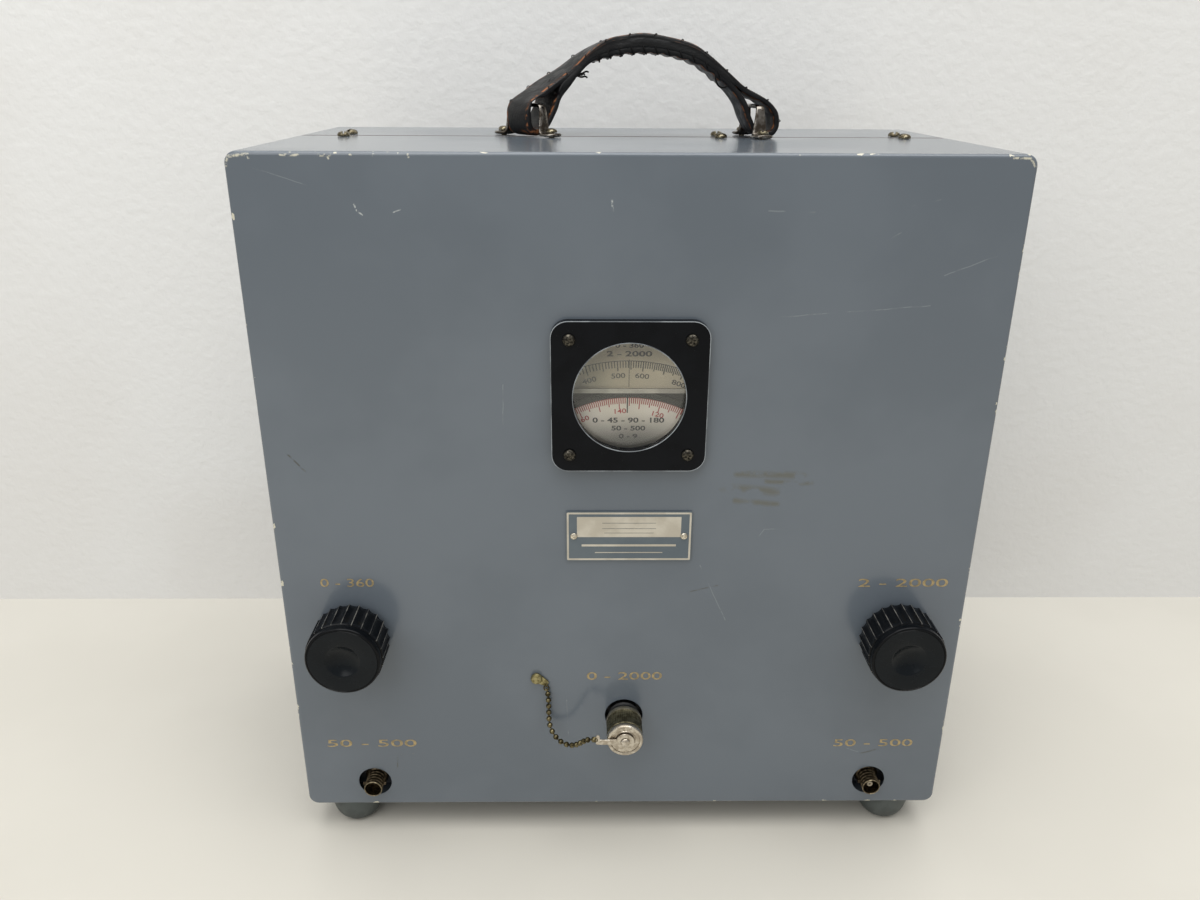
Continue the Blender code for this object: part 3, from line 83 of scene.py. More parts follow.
# Bead chain. Hollow balls rolled from brass strip over short wire links, oxidised to a dark
# olive. It keeps the dust cap, and hangs from a lug on the panel to a hook on the cap's lug.
MM = 0.001
CHAIN_ROUTE = (
    (-40.4, 77.2, 2.2), (-39.9, 75.2, 2.4), (-39.5, 72.0, 2.8), (-39.3, 68.0, 3.3),
    (-39.3, 64.0, 3.9), (-39.2, 60.0, 4.7), (-38.7, 56.4, 5.8), (-37.3, 53.2, 7.2),
    (-35.1, 50.8, 8.8), (-32.4, 49.4, 10.5), (-29.5, 49.2, 12.2), (-26.8, 50.3, 14.0),
    (-24.3, 52.5, 16.0), (-22.0, 55.4, 18.0), (-19.9, 58.2, 20.0), (-17.6, 59.7, 21.3),
    (-15.3, 59.9, 21.7),
)
BEAD_PITCH = 3.5
BEAD_RADIUS = 1.45
LINK_RADIUS = 0.4
END_RING_RADIUS = 1.3
END_RING_WIRE = 0.4

case_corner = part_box("front_shell")[0]
panel = Matrix.Translation((0, case_corner.y, case_corner.z)) @ Matrix.Rotation(math.pi / 2, 4, "X")


def add(tree, kind, inputs=None, **settings):
    """Adds a shader node. An input is a value, or the node or socket that it is linked from."""
    made = tree.nodes.new("ShaderNode" + kind)
    for key, value in settings.items():
        setattr(made, key, value)
    for key, value in (inputs or {}).items():
        if isinstance(value, bpy.types.Node):
            value = value.outputs[0]
        if isinstance(value, bpy.types.NodeSocket):
            tree.links.new(value, made.inputs[key])
        else:
            made.inputs[key].default_value = value
    return made


def colour(code):
    """Linear colour of an sRGB hex value."""
    channels = [int(code[i : i + 2], 16) / 255 for i in (0, 2, 4)]
    linear = [c / 12.92 if c <= 0.04045 else ((c + 0.055) / 1.055) ** 2.4 for c in channels]
    return (*linear, 1.0)


def patches(tree, size, low=0.4, high=0.6, stretch=(1, 1, 1), detail=4.0):
    """Soft patches about size millimetres across, 0 outside them and 1 inside."""
    place = add(tree, "TexCoord").outputs["Object"]
    place = add(tree, "Mapping", {"Vector": place, "Scale": stretch})
    noise = add(tree, "TexNoise", {"Vector": place, "Scale": 1 / (size * MM), "Detail": detail})
    limits = {0: noise, 1: low, 2: high}
    return add(tree, "MapRange", limits, interpolation_type="SMOOTHSTEP")


def finish(name, tones, patch, roughness, bump, stretch=(1, 1, 1), **sockets):
    """Two tones and two roughnesses in patches of one size over a bump of (grain, height).

    Plated, drawn and moulded grain is finer than the picture can show, so each is drawn as
    coarse as it has to be, 0.3 mm or more.
    """
    made = bpy.data.materials.new(name)
    made.use_nodes = True
    tree = made.node_tree
    shader = tree.nodes["Principled BSDF"]
    for key, value in sockets.items():
        shader.inputs[key.replace("_", " ")].default_value = value
    share = patches(tree, patch, stretch=stretch)
    first, second = map(colour, tones)
    tone = add(tree, "Mix", {0: share, 6: first, 7: second}, data_type="RGBA")
    tree.links.new(tone.outputs[2], shader.inputs["Base Color"])
    rough = add(tree, "MapRange", {0: share, 3: roughness[0], 4: roughness[1]})
    tree.links.new(rough.outputs[0], shader.inputs["Roughness"])
    grain = patches(tree, bump[0], 0.2, 0.8, stretch)
    height = add(tree, "Bump", {"Height": grain, "Distance": bump[1] * MM})
    tree.links.new(height.outputs[0], shader.inputs["Normal"])
    return made


def spread(points, steps, closed=False):
    """A smooth line through the points, with steps to each stretch."""
    points = [Vector(point) for point in points]
    last = len(points) if closed else len(points) - 1
    found = []
    for i in range(last):
        near = [i + k for k in (-1, 0, 1, 2)]
        near = [k % len(points) if closed else max(0, min(last, k)) for k in near]
        a, b, c, d = (points[k] for k in near)
        for step in range(steps):
            t = step / steps
            square = 2 * a - 5 * b + 4 * c - d
            cube = 3 * b - a - 3 * c + d
            found.append((2 * b + (c - a) * t + square * t**2 + cube * t**3) / 2)
    return found if closed else found + [points[last]]


def paced(line, pace):
    """Points at an even pace along a line."""
    found = [line[0].copy()]
    left = pace
    for start, end in zip(line, line[1:]):
        run = (end - start).length
        while left <= run:
            found.append(start.lerp(end, left / run))
            left += pace
        left -= run
    return found


def full_turn(count):
    """Angles all the way round."""
    return [2 * math.pi * k / count for k in range(count)]


def set_out(bm, places):
    """Vertices at places in millimetres."""
    return [bm.verts.new(Vector(place) * MM) for place in places]


def loft(bm, rings, closed=False, capped=False):
    """Skins rings of as many points each, in order."""
    for first, second in zip(rings, rings[1:] + (rings[:1] if closed else [])):
        for k in range(len(first)):
            n = (k + 1) % len(first)
            bm.faces.new((first[k], first[n], second[n], second[k]))
    if capped:
        bm.faces.new(rings[0][::-1])
        bm.faces.new(rings[-1])


def tube(bm, line, radius, sides=8, closed=False):
    """Adds a round tube along a line."""
    count = len(line)
    across = None
    rings = []
    for i, point in enumerate(line):
        before = line[(i - 1) % count if closed else max(i - 1, 0)]
        after = line[(i + 1) % count if closed else min(i + 1, count - 1)]
        along = (Vector(after) - Vector(before)).normalized()
        across = across or along.orthogonal()
        across = (across - along * across.dot(along)).normalized()
        other = along.cross(across)
        ways = [across * math.cos(turn) + other * math.sin(turn) for turn in full_turn(sides)]
        rings.append(set_out(bm, [Vector(point) + radius * way for way in ways]))
    loft(bm, rings, closed, capped=not closed)


def meshed(name, bm):
    """A mesh from a bmesh, which is freed."""
    mesh = bpy.data.meshes.new(name)
    bm.to_mesh(mesh)
    bm.free()
    return mesh


def finished(name, bm, sharp=35):
    """A smooth-shaded mesh from a bmesh, its corners kept sharp."""
    bmesh.ops.recalc_face_normals(bm, faces=bm.faces)
    mesh = meshed(name, bm)
    mesh.shade_smooth()
    mesh.set_sharp_from_angle(angle=math.radians(sharp))
    return mesh


def fit(name, mesh, surface, centre=(0, 0, 0), body="chassis", stands_for=(), turn=None, ease=0):
    """Sets a mesh or bmesh in the panel's frame, on a body, in place of any CAD nodes named."""
    if isinstance(mesh, bmesh.types.BMesh):
        mesh = finished(name, mesh)
    piece = placed(name, mesh)
    piece.matrix_world = panel @ Matrix.Translation(Vector(centre) * MM) @ (turn or Matrix())
    if not mesh.materials:
        mesh.materials.append(surface)
    if ease:
        edge = piece.modifiers.new("eased_edges", "BEVEL")
        edge.width = ease * MM
        edge.segments = 3
        edge.limit_method = "ANGLE"
        edge.angle_limit = math.radians(40)
        piece.modifiers.new("shading", "WEIGHTED_NORMAL").keep_sharp = True
    if body:
        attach(piece, body)
    if stands_for:
        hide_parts(*stands_for)
    return piece


# Oxidised brass: the balls' crowns are rubbed nearly bare and the links between stay dark.
beads_brass = finish(
    "oxidised_brass", ("756c50", "3d3726"), 2, (0.32, 0.5), (0.5, 0.03), Metallic=1.0
)


def bead_chain():
    line = spread(CHAIN_ROUTE, 12)
    bm = bmesh.new()
    tube(bm, line, LINK_RADIUS)
    for centre in paced(line, BEAD_PITCH)[1:]:
        ball = bmesh.ops.create_uvsphere(bm, u_segments=16, v_segments=10, radius=BEAD_RADIUS * MM)
        bmesh.ops.translate(bm, verts=ball["verts"], vec=centre * MM)
    for end, way in ((line[0], line[0] - line[3]), (line[-1], line[-1] - line[-4])):
        out = way.normalized()
        side = out.cross(Vector((0, 0, 1))).normalized()
        ways = [out * math.cos(turn) + side * math.sin(turn) for turn in full_turn(16)]
        tube(bm, [end + END_RING_RADIUS * way for way in ways], END_RING_WIRE, closed=True)
    chain = fit("bead_chain", bm, beads_brass, body=None)
    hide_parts("cap_chain")
    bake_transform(chain)


bead_chain()

# Bench and wall. A pale glossy bench top meets a white painted wall close behind the case;
# soft daylight falls from above and a little to the left.
WALL_Y = 0.172
STAGE_HALF = 4.0
FLOOR_CORNERS = ((-1, -1, 0), (1, -1, 0), (1, 1, 0), (-1, 1, 0))
WALL_CORNERS = ((-1, 0, 0), (1, 0, 0), (1, 0, 1), (-1, 0, 1))
LAMPS = (
    ("window_light", (-0.8, -1.3, 1.2), 1.2, 9.0),
    ("ceiling_light", (0.1, -0.32, 1.8), 1.6, 27.0),
)
LAMP_AIM = Vector((0, 0, 0.17))

# Gloss paint gives a dim, soft reflection; a rolled wall is matt with a low, even texture.
benchtop = finish("painted_benchtop", ("d7d3c8", "d4d0c5"), 180, (0.32, 0.38), (60, 0.05))
wall_paint = finish("wall_paint", ("e6e6e4", "e1e0dd"), 300, (0.6, 0.7), (6, 0.22))


def stage_sheet(name, corners, foot, surface):
    bm = bmesh.new()
    bm.faces.new([bm.verts.new(Vector(corner) * STAGE_HALF + foot) for corner in corners])
    mesh = meshed(name, bm)
    mesh.materials.append(surface)
    sheet = placed(name, mesh)
    return sheet


def open_from_behind(made):
    """Lets sight through the wall's back, so that the case's own back can be seen."""
    tree = made.node_tree
    behind = add(tree, "NewGeometry").outputs["Backfacing"]
    clear = add(tree, "BsdfTransparent")
    seen = add(tree, "MixShader", {0: behind, 1: tree.nodes["Principled BSDF"], 2: clear})
    tree.links.new(seen.outputs[0], tree.nodes["Material Output"].inputs["Surface"])


open_from_behind(wall_paint)
stage_sheet("benchtop", FLOOR_CORNERS, Vector(), benchtop)
wall = stage_sheet("wall", WALL_CORNERS, Vector((0, WALL_Y, 0)), wall_paint)
wall.visible_diffuse = False
wall.visible_shadow = False

for name, place, size, watts in LAMPS:
    lamp = bpy.data.lights.new(name, "AREA")
    lamp.size = size
    lamp.energy = watts
    lit = placed(name, lamp)
    lit.location = place
    lit.rotation_euler = (LAMP_AIM - Vector(place)).to_track_quat("-Z", "Y").to_euler()

world = bpy.data.worlds.new("daylight")
world.use_nodes = True
world.node_tree.nodes["Background"].inputs["Color"].default_value = (1, 1, 1, 1)
world.node_tree.nodes["Background"].inputs["Strength"].default_value = 0.5
bpy.context.scene.world = world
bpy.context.scene.view_settings.view_transform = "Standard"

# Case. Two deep-drawn steel shells in semi-gloss slate enamel, stoved; they meet at a fine
# seam across the deck, the sides and the bottom.
SHEET = 1.6
CORNER_RADIUS = 5.2
EDGE_RADIUS = 1.7
CASE_SIDE = (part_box("front_shell")[1].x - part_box("front_shell")[0].x) / MM
CASE_DEPTH = (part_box("rear_shell")[1].y - case_corner.y) / MM
GLASS_HOLE = 27.9
SOCKET_HOLE = 9.8
JACK_HOLE = 8.7
HOLE_EASE = 0.35
HOLE_POINTS = 72
EDGE_STEPS = 8

# The front shell's edge dips under the rear's, which is only rolled: (inset, distance to seam).
JOGGLE = ((0, 2.8), (0.1, 2.3), (0.6, 1.5), (0.95, 1.0), (0.95, 0.4), (1.25, 0))
LIP = ((0, 0.45), (0.13, 0.13), (0.45, 0))


def extent(name):
    """A node's lowest and highest corner in the panel's frame, in millimetres."""
    corners = [panel.inverted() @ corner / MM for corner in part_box(name)]
    return Vector(map(min, *corners)), Vector(map(max, *corners))


def axis_of(name):
    """The (x, y) of a node's middle."""
    low, high = extent(name)
    return (low.x + high.x) / 2, (low.y + high.y) / 2


def circle(radius, count, x=0, y=0):
    return [(x + radius * math.cos(t), y + radius * math.sin(t)) for t in full_turn(count)]


def rounded(width, height, radius, x=0, y=0, steps=8):
    """Corner points of a rectangle with round corners."""
    points = []
    for k, (right, up) in enumerate(((1, 1), (-1, 1), (-1, -1), (1, -1))):
        for step in range(steps + 1):
            turn = (k + step / steps) * math.pi / 2
            across = right * (width / 2 - radius) + radius * math.cos(turn)
            points.append((x + across, y + up * (height / 2 - radius) + radius * math.sin(turn)))
    return points


def rim_edges(bm, ring):
    return [bm.edges.get((ring[k - 1], ring[k])) for k in range(len(ring))]


def case_shell(name, stands_for, face, seam, holes=()):
    """One shell, its face at z = face; at the seam the front one's lip dips under the rear's."""
    way = 1 if face > seam else -1
    bm = bmesh.new()

    def rim(outline, back):
        return set_out(bm, [(x, y, face - way * back) for x, y in outline])

    turns = [math.pi / 2 * k / EDGE_STEPS for k in range(EDGE_STEPS + 1)]
    rolled = [(EDGE_RADIUS * (1 - math.sin(t)), EDGE_RADIUS * (1 - math.cos(t))) for t in turns]
    rolled += [(inset, abs(face - seam) - back) for inset, back in (JOGGLE if way > 0 else LIP)]
    walls = []
    for inset, back in rolled:
        side = CASE_SIDE - 2 * inset
        walls.append(rim(rounded(side, side, CORNER_RADIUS - inset, 0, CASE_SIDE / 2), back))
    skins = [walls]
    eased = ((HOLE_EASE, 0), (HOLE_EASE * 0.3, HOLE_EASE * 0.3), (0, HOLE_EASE))
    for x, y, radius in holes:
        skins.append([rim(circle(radius + wider, HOLE_POINTS, x, y), back) for wider, back in eased])
    edges = []
    for rings in skins:
        loft(bm, rings)
        edges += rim_edges(bm, rings[0])
    bmesh.ops.triangle_fill(bm, edges=edges, use_beauty=True, normal=(0, 0, way))
    bmesh.ops.recalc_face_normals(bm, faces=bm.faces)
    if max(bm.faces, key=lambda f: f.calc_center_median().y).normal.y < 0:
        bmesh.ops.reverse_faces(bm, faces=bm.faces)
    mesh = meshed(name, bm)
    mesh.shade_smooth()
    piece = fit(name, mesh, enamel, stands_for=(stands_for,))
    sheet = piece.modifiers.new("sheet", "SOLIDIFY")
    sheet.thickness = SHEET * MM
    sheet.offset = -1
    piece.modifiers.new("shading", "WEIGHTED_NORMAL")


# Stoved enamel over grey primer gives a semi-gloss with a faint orange peel. It is chipped
# to the pale primer along the rolled edges, with light scratches, specks and one dark rub,
# and a brown-grey band of painted shade darkens it along the seam.
WEAR_SPOTS = (
    (-144, 343, 3), (20, 343, 2), (96, 343, 3), (104, 343, 3), (142, 343, 3), (171, 305, 7),
    (171, 268, 4), (-171, 262, 4), (-170, 138, 5), (-135, 0, 5), (134, 0, 5), (152, 0, 4), (60, 0, 4),
)
CHIPPED_EDGES = (
    ((-170.4, 337.0), (-169.4, 340.6), 0.8), ((-169.4, 340.6), (-161.2, 341.6), 0.9),
    ((-161.2, 341.6), (-160.8, 340.0), 0.6), ((-147.4, 341.4), (-140.0, 341.6), 0.7),
    ((-131.6, 341.4), (-126.6, 341.5), 0.7), ((-128.0, 341.4), (-127.6, 340.2), 0.5),
    ((-118.4, 341.8), (-118.0, 341.5), 0.6), ((-108.9, 341.8), (-108.5, 341.5), 0.7),
    ((-94.2, 341.8), (-94.0, 340.9), 0.6), ((160.5, 341.3), (167.5, 341.2), 0.6),
    ((167.5, 341.2), (170.3, 337.5), 0.7),
)
BRIGHT_SCRATCHES = (
    ((-8.8, 323.6), (-8.3, 319.0), 0.5), ((-118.6, 321.6), (-117.6, 318.8), 0.45),
    ((-117.6, 318.8), (-115.4, 317.0), 0.45), ((-102.2, 318.1), (-98.7, 319.3), 0.35),
)
FAINT_SCRATCHES = (
    ((62.3, 272.6), (133.3, 278.2), 0.4), ((117.4, 317.6), (120.2, 321.6), 0.35),
    ((120.2, 321.6), (131.8, 324.4), 0.35), ((138.1, 291.8), (154.9, 298.7), 0.4),
    ((154.9, 298.7), (160.1, 300.4), 0.3), ((111.4, 307.2), (116.4, 310.2), 0.35),
    ((58.5, 319.3), (78.3, 318.9), 0.55), ((-57.8, 241.1), (-58.4, 221.6), 0.4),
    ((66.8, 167.8), (61.5, 159.1), 0.4), ((66.8, 167.8), (76.5, 168.0), 0.3),
    ((36.5, 148.0), (50.5, 116.5), 0.4), ((120.1, 36.6), (126.8, 33.9), 0.4),
    ((-159.3, 336.1), (-133.8, 328.1), 0.3), ((-30, 68), (-29, 40), 0.4),
)
DARK_SCRATCHES = (
    ((-159.6, 206.5), (-152.5, 198.4), 0.6), ((-121, 33), (-121.5, 25), 0.4),
    ((-119, 33.5), (-112, 34), 0.4), ((128.5, 33), (136, 35.5), 0.5),
    ((31.1, 132.8), (45.9, 136.7), 0.35),
)
SMUDGE_STREAKS = (
    ((52, 197), (84, 196), 2.6), ((46, 190), (76, 187), 3.0), ((52, 183), (72, 181), 2.0),
    ((66, 193), (88, 192), 1.6),
)
PRIMER = "c9c5b2"
MARKS = (
    (SMUDGE_STREAKS, 9, "5d5f5b", 0.35),
    (DARK_SCRATCHES, 4, "4a4c49", 0.45),
    (FAINT_SCRATCHES, 12, "6f767b", 0.3),
    (BRIGHT_SCRATCHES, 1, "b4b8b6", 0.45),
    (CHIPPED_EDGES, 1.6, PRIMER, 0.5),
)
SPOT_REACH = 0.42
CHIP_WIDTHS = (0.85, 2.6)
SEAM_SHADE_WIDTHS = (1.9, 1.0)

# Scratches wander a millimetre either way. The noise that moves them lies about a half, so the
# lines are set out from that middle.
WANDER = 2.0
WANDER_SIZE = 9.0
WANDER_MIDDLE = Vector((0.5, 0.5, 0))


def lay_over(made, mask, tone, roughness):
    """Covers a material with another tone and roughness where the mask is 1."""
    tree = made.node_tree
    shader = tree.nodes["Principled BSDF"]
    below = shader.inputs["Base Color"].links[0].from_socket
    cover = add(tree, "Mix", {0: mask, 6: below, 7: colour(tone)}, data_type="RGBA")
    tree.links.new(cover.outputs[2], shader.inputs["Base Color"])
    below = shader.inputs["Roughness"].links[0].from_socket
    rough = add(tree, "Mix", {0: mask, 2: below, 3: roughness})
    tree.links.new(rough.outputs[0], shader.inputs["Roughness"])


def scratched(tree, scratches, gap_size):
    """Lines on the panel's face, broken by gaps: 1 on them and 0 beside them."""
    place = add(tree, "TexCoord").outputs["Object"]
    wander = add(tree, "TexNoise", {"Vector": place, "Scale": 1 / (WANDER_SIZE * MM)}).outputs["Color"]
    wide = WANDER_MIDDLE * WANDER * MM
    place = add(tree, "VectorMath", {0: wander, 1: wide, 2: place}, operation="MULTIPLY_ADD")
    total = None
    for start, end, width in scratches:
        start = (Vector((*start, 0)) + WANDER_MIDDLE) * MM
        run = (Vector((*end, 0)) + WANDER_MIDDLE) * MM - start
        off = add(tree, "VectorMath", {0: place, 1: start}, operation="SUBTRACT")
        flat = add(tree, "VectorMath", {0: off, 1: (1, 1, 0)}, operation="MULTIPLY")
        unit = run / run.length_squared
        share = add(tree, "VectorMath", {0: flat, 1: unit}, operation="DOT_PRODUCT").outputs["Value"]
        held = add(tree, "Clamp", {0: share})
        nearest = add(tree, "VectorMath", {0: run, "Scale": held}, operation="SCALE")
        away = add(tree, "VectorMath", {0: flat, 1: nearest}, operation="DISTANCE").outputs["Value"]
        line = add(tree, "MapRange", {0: away, 1: width * MM, 2: width * 0.25 * MM})
        total = line if total is None else add(tree, "Math", {0: total, 1: line}, operation="MAXIMUM")
    broken = patches(tree, gap_size, 0.42, 0.58)
    on_face = add(tree, "SeparateXYZ", {0: add(tree, "TexCoord").outputs["Object"]}).outputs["Z"]
    on_face = add(tree, "Math", {0: on_face, 1: -1 * MM}, operation="GREATER_THAN")
    total = add(tree, "Math", {0: total, 1: broken}, operation="MULTIPLY")
    return add(tree, "Math", {0: total, 1: on_face}, operation="MULTIPLY")


def stoved_enamel():
    """The shells' enamel: crest measures how near a point lies to the case's rolled edges."""
    made = finish(
        "slate_enamel", ("636b73", "5d656d"), 110, (0.18, 0.23), (1.1, 0.004),
        Coat_Weight=0.3, Coat_Roughness=0.2,
    )
    tree = made.node_tree
    place = add(tree, "TexCoord").outputs["Object"]
    x, y, z = add(tree, "SeparateXYZ", {0: place}).outputs
    half = CASE_SIDE / 2 * MM
    size = add(tree, "Math", {0: x}, operation="ABSOLUTE")
    side = add(tree, "Math", {0: half, 1: size}, operation="SUBTRACT")
    top = add(tree, "Math", {0: 2 * half, 1: y}, operation="SUBTRACT")
    front = add(tree, "Math", {0: z, 1: -1.0}, operation="MULTIPLY")
    back = add(tree, "Math", {0: z, 1: CASE_DEPTH * MM}, operation="ADD")
    ends = add(tree, "Math", {0: front, 1: back}, operation="MINIMUM")
    upright = add(tree, "Math", {0: top, 1: y}, operation="MINIMUM")
    around = add(tree, "Math", {0: side, 1: upright}, operation="MINIMUM")
    crest = add(tree, "Math", {0: ends, 1: around}, operation="ADD")
    chipping = patches(tree, 3, 0.3, 0.8, stretch=(0.5, 0.5, 1))
    for spot_x, spot_y, reach in WEAR_SPOTS:
        spot = (spot_x * MM, spot_y * MM, 0)
        away = add(tree, "VectorMath", {0: place, 1: spot}, operation="DISTANCE").outputs["Value"]
        near = add(tree, "MapRange", {0: away, 1: reach * MM, 2: 0.0, 4: SPOT_REACH})
        chipping = add(tree, "Math", {0: chipping, 1: near}, operation="ADD")
    narrow, broad = (width * MM for width in CHIP_WIDTHS)
    limit = add(tree, "MapRange", {0: chipping, 1: 0.72, 2: 1.15, 3: narrow, 4: broad})
    bare = add(tree, "Math", {0: crest, 1: limit}, operation="LESS_THAN")
    lay_over(made, patches(tree, 0.9, 0.72, 0.78), "50565a", 0.4)
    for marks, gap_size, tone, roughness in MARKS:
        lay_over(made, scratched(tree, marks, gap_size), tone, roughness)
    lay_over(made, bare, PRIMER, 0.5)
    # Painted shade: a brown-grey band along the seam, where its gap lies in shade.
    seam = add(tree, "Math", {0: front, 1: -extent("front_shell")[0].z * MM}, operation="SUBTRACT")
    seam = add(tree, "Math", {0: seam}, operation="ABSOLUTE")
    clean, full = (width * MM for width in SEAM_SHADE_WIDTHS)
    seam_shade = add(tree, "MapRange", {0: seam, 1: clean, 2: full, 4: 0.95})
    lay_over(made, seam_shade, "4c4039", 0.6)
    return made


enamel = stoved_enamel()
panel_holes = [(*axis_of("window_glass"), GLASS_HOLE), (*axis_of("unknown_cap"), SOCKET_HOLE)]
panel_holes += [(*axis_of(name), JACK_HOLE) for name in ("generator_jack", "detector_jack")]
case_shell("enamelled_front", "front_shell", 0, extent("front_shell")[0].z, panel_holes)
case_shell("enamelled_rear", "rear_shell", -CASE_DEPTH, extent("rear_shell")[1].z)

# Inside. A plated steel seam frame, an aluminium pan and shelf, brass and bronze drives and
# the coaxial lines; only slivers of them show past the jacks and the dials.

# Zinc plate is a cloudy warm grey, and mill-finish aluminium a paler, flatter one.
zinc_plate = finish("zinc_plated_steel", ("b9b7ae", "8f8a7c"), 6, (0.3, 0.5), (0.8, 0.02), Metallic=1.0)
sheet_aluminium = finish(
    "mill_finish_aluminium", ("b4b5b6", "9c9d9e"), 14, (0.35, 0.48), (0.5, 0.02), Metallic=1.0
)

# Drawn brass is a dulled yellow, bronze cord a darker red-brown that glints strand by strand.
drawn_brass = finish("drawn_brass", ("a88f52", "786238"), 4, (0.32, 0.5), (0.5, 0.02), Metallic=1.0)
bronze_cord = finish(
    "phosphor_bronze_cord", ("8f6b45", "5f4630"), 1, (0.4, 0.6), (0.4, 0.05), Metallic=1.0
)

# The cables' lacquered braid is a matt charcoal, and ground steel gives the sharpest glints.
cable_braid = finish("braided_cable_jacket", ("2c2b29", "3b3937"), 1.5, (0.6, 0.75), (0.6, 0.1))
bright_steel = finish("ground_steel", ("b5b4b0", "8e8c86"), 3, (0.22, 0.4), (0.3, 0.02), Metallic=1.0)

CARRIED_OVER = (
    (zinc_plate, ("seam_frame", "phase_bushing", "magnitude_bushing")),
    (sheet_aluminium, ("chassis_pan", "connector_shelf", "main_line", "phase_line")),
    (sheet_aluminium, ("attenuator_carriage", "probe_arm", "phase_pulley", "magnitude_pulley")),
    (drawn_brass, ("electric_attenuator", "magnetic_attenuator")),
    (bright_steel, ("dial_spindle", "phase_shaft", "magnitude_shaft")),
    (bronze_cord, ("phase_drive_cord", "magnitude_drive_cord")),
    (cable_braid, ("generator_cable", "detector_cable")),
)


def coat_solids(surface, names):
    """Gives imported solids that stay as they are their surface."""
    for name in names:
        for material_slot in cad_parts[name].material_slots:
            material_slot.material = surface


for surface, names in CARRIED_OVER:
    coat_solids(surface, names)

# Dials. Two aluminium discs sprayed cream, with their scales printed on: the outer one reads
# ohms on a log scale, the inner one degrees, red one way round and black the other.
TICK_LIFT = 0.06
DISC_EASE = 0.2
MAGNITUDE_ARC = 77.6
ARC_STEPS = 240
ARC_WIDTH = 0.42
MAGNITUDE_TICKS = ((10, 4.8, 0.64), (5, 4.2, 0.54), (1, 3.3, 0.54))
MAGNITUDE_FIGURES = 70.4
MAGNITUDE_FACE = (2.5, 1.35, 0.02)
MAGNITUDE_DECADE = 115.0
MAGNITUDE_READS = 541.0
MAGNITUDE_LIMITS = (2, 2000)
UNNUMBERED_TENTHS = (70, 90)
PHASE_EDGE = 60.6
PHASE_TICKS = ((10, 5.8), (5, 4.4), (1, 3.2))
PHASE_TICK_WIDTH = 0.46
PHASE_FIGURES = 53.6
PHASE_FACE = (2.4, 1.3, 0.018)
PHASE_UNIT = 344.5 / 360
PHASE_READS = 135.5
PHASE_SIDE = 180
PHASE_SHADE_RADII = (57, 38)


def turned(name, profile, steps=64, shape=None, sharp=30):
    """A turned piece: (radius, z) points from the middle of its front round to its back."""
    bm = bmesh.new()
    rings = []
    for radius, z in profile:
        if radius == 0:
            rings.append(set_out(bm, [(0, 0, z)]))
            continue
        sizes = [(shape(radius, z, t) if shape else radius, t) for t in full_turn(steps)]
        rings.append(set_out(bm, [(size * math.cos(t), size * math.sin(t), z) for size, t in sizes]))
    for first, second in zip(rings, rings[1:]):
        for k in range(steps):
            ways = ((first, k), (first, k + 1), (second, k + 1), (second, k))
            corners = [ring[i % len(ring)] for ring, i in ways]
            bm.faces.new(list(dict.fromkeys(corners)))
    return finished(name, bm, sharp)


def coin(radius, front, back, ease):
    """The profile of a flat disc, its two edges eased."""
    profile = [(0, front), (radius - ease, front), (radius, front - ease)]
    return profile + [(radius, back + ease), (radius - ease, back), (0, back)]


def bar(bm, start, end, width, z):
    """Adds a printed line: a thin raised bar from start to end."""
    start, end = Vector(start), Vector(end)
    side = Vector((start.y - end.y, end.x - start.x)).normalized() * width / 2
    corners = [start - side, end - side, end + side, start + side]
    rings = [set_out(bm, [(*corner, level) for corner in corners]) for level in (z, z + TICK_LIFT)]
    loft(bm, rings)
    bm.faces.new(rings[1])


def figures(bm, words, place, z, face, angle=0):
    """Adds printed figures, centred and turned clockwise, of a (cap height, stretch, weight)."""
    height, stretch, weight = face
    text = bpy.data.curves.new("figures", "FONT")
    text.body = words
    text.align_x = "CENTER"
    text.align_y = "CENTER"
    text.offset = weight
    text.resolution_u = 4
    holder = bpy.data.objects.new("figures", text)
    mesh = bpy.data.meshes.new_from_object(holder)
    tall = max(v.co.y for v in mesh.vertices) - min(v.co.y for v in mesh.vertices)
    size = height / tall * MM
    mesh.transform(
        Matrix.Translation(Vector((*place, z + TICK_LIFT)) * MM)
        @ Matrix.Rotation(-math.radians(angle), 4, "Z")
        @ Matrix.Diagonal((size * stretch, size, MM, 1))
    )
    bm.from_mesh(mesh)
    bpy.data.objects.remove(holder)
    bpy.data.meshes.remove(mesh)
    bpy.data.curves.remove(text)


def spoke(angle, radius):
    """The place at a radius on a dial, its angle counted clockwise from the top in degrees."""
    turn = math.radians(angle)
    return radius * math.sin(turn), radius * math.cos(turn)


# Sprayed paint, aged cream, is matt and takes the light evenly; ink lies flat and duller on it.
dial_paint = finish("sprayed_cream_paint", ("cbc2b1", "c4baa7"), 30, (0.5, 0.6), (0.6, 0.01))
black_ink = finish("black_printing_ink", ("22211f", "2b2926"), 3, (0.5, 0.6), (0.5, 0.01))
red_ink = finish("red_printing_ink", ("a03d38", "923631"), 3, (0.5, 0.6), (0.5, 0.01))


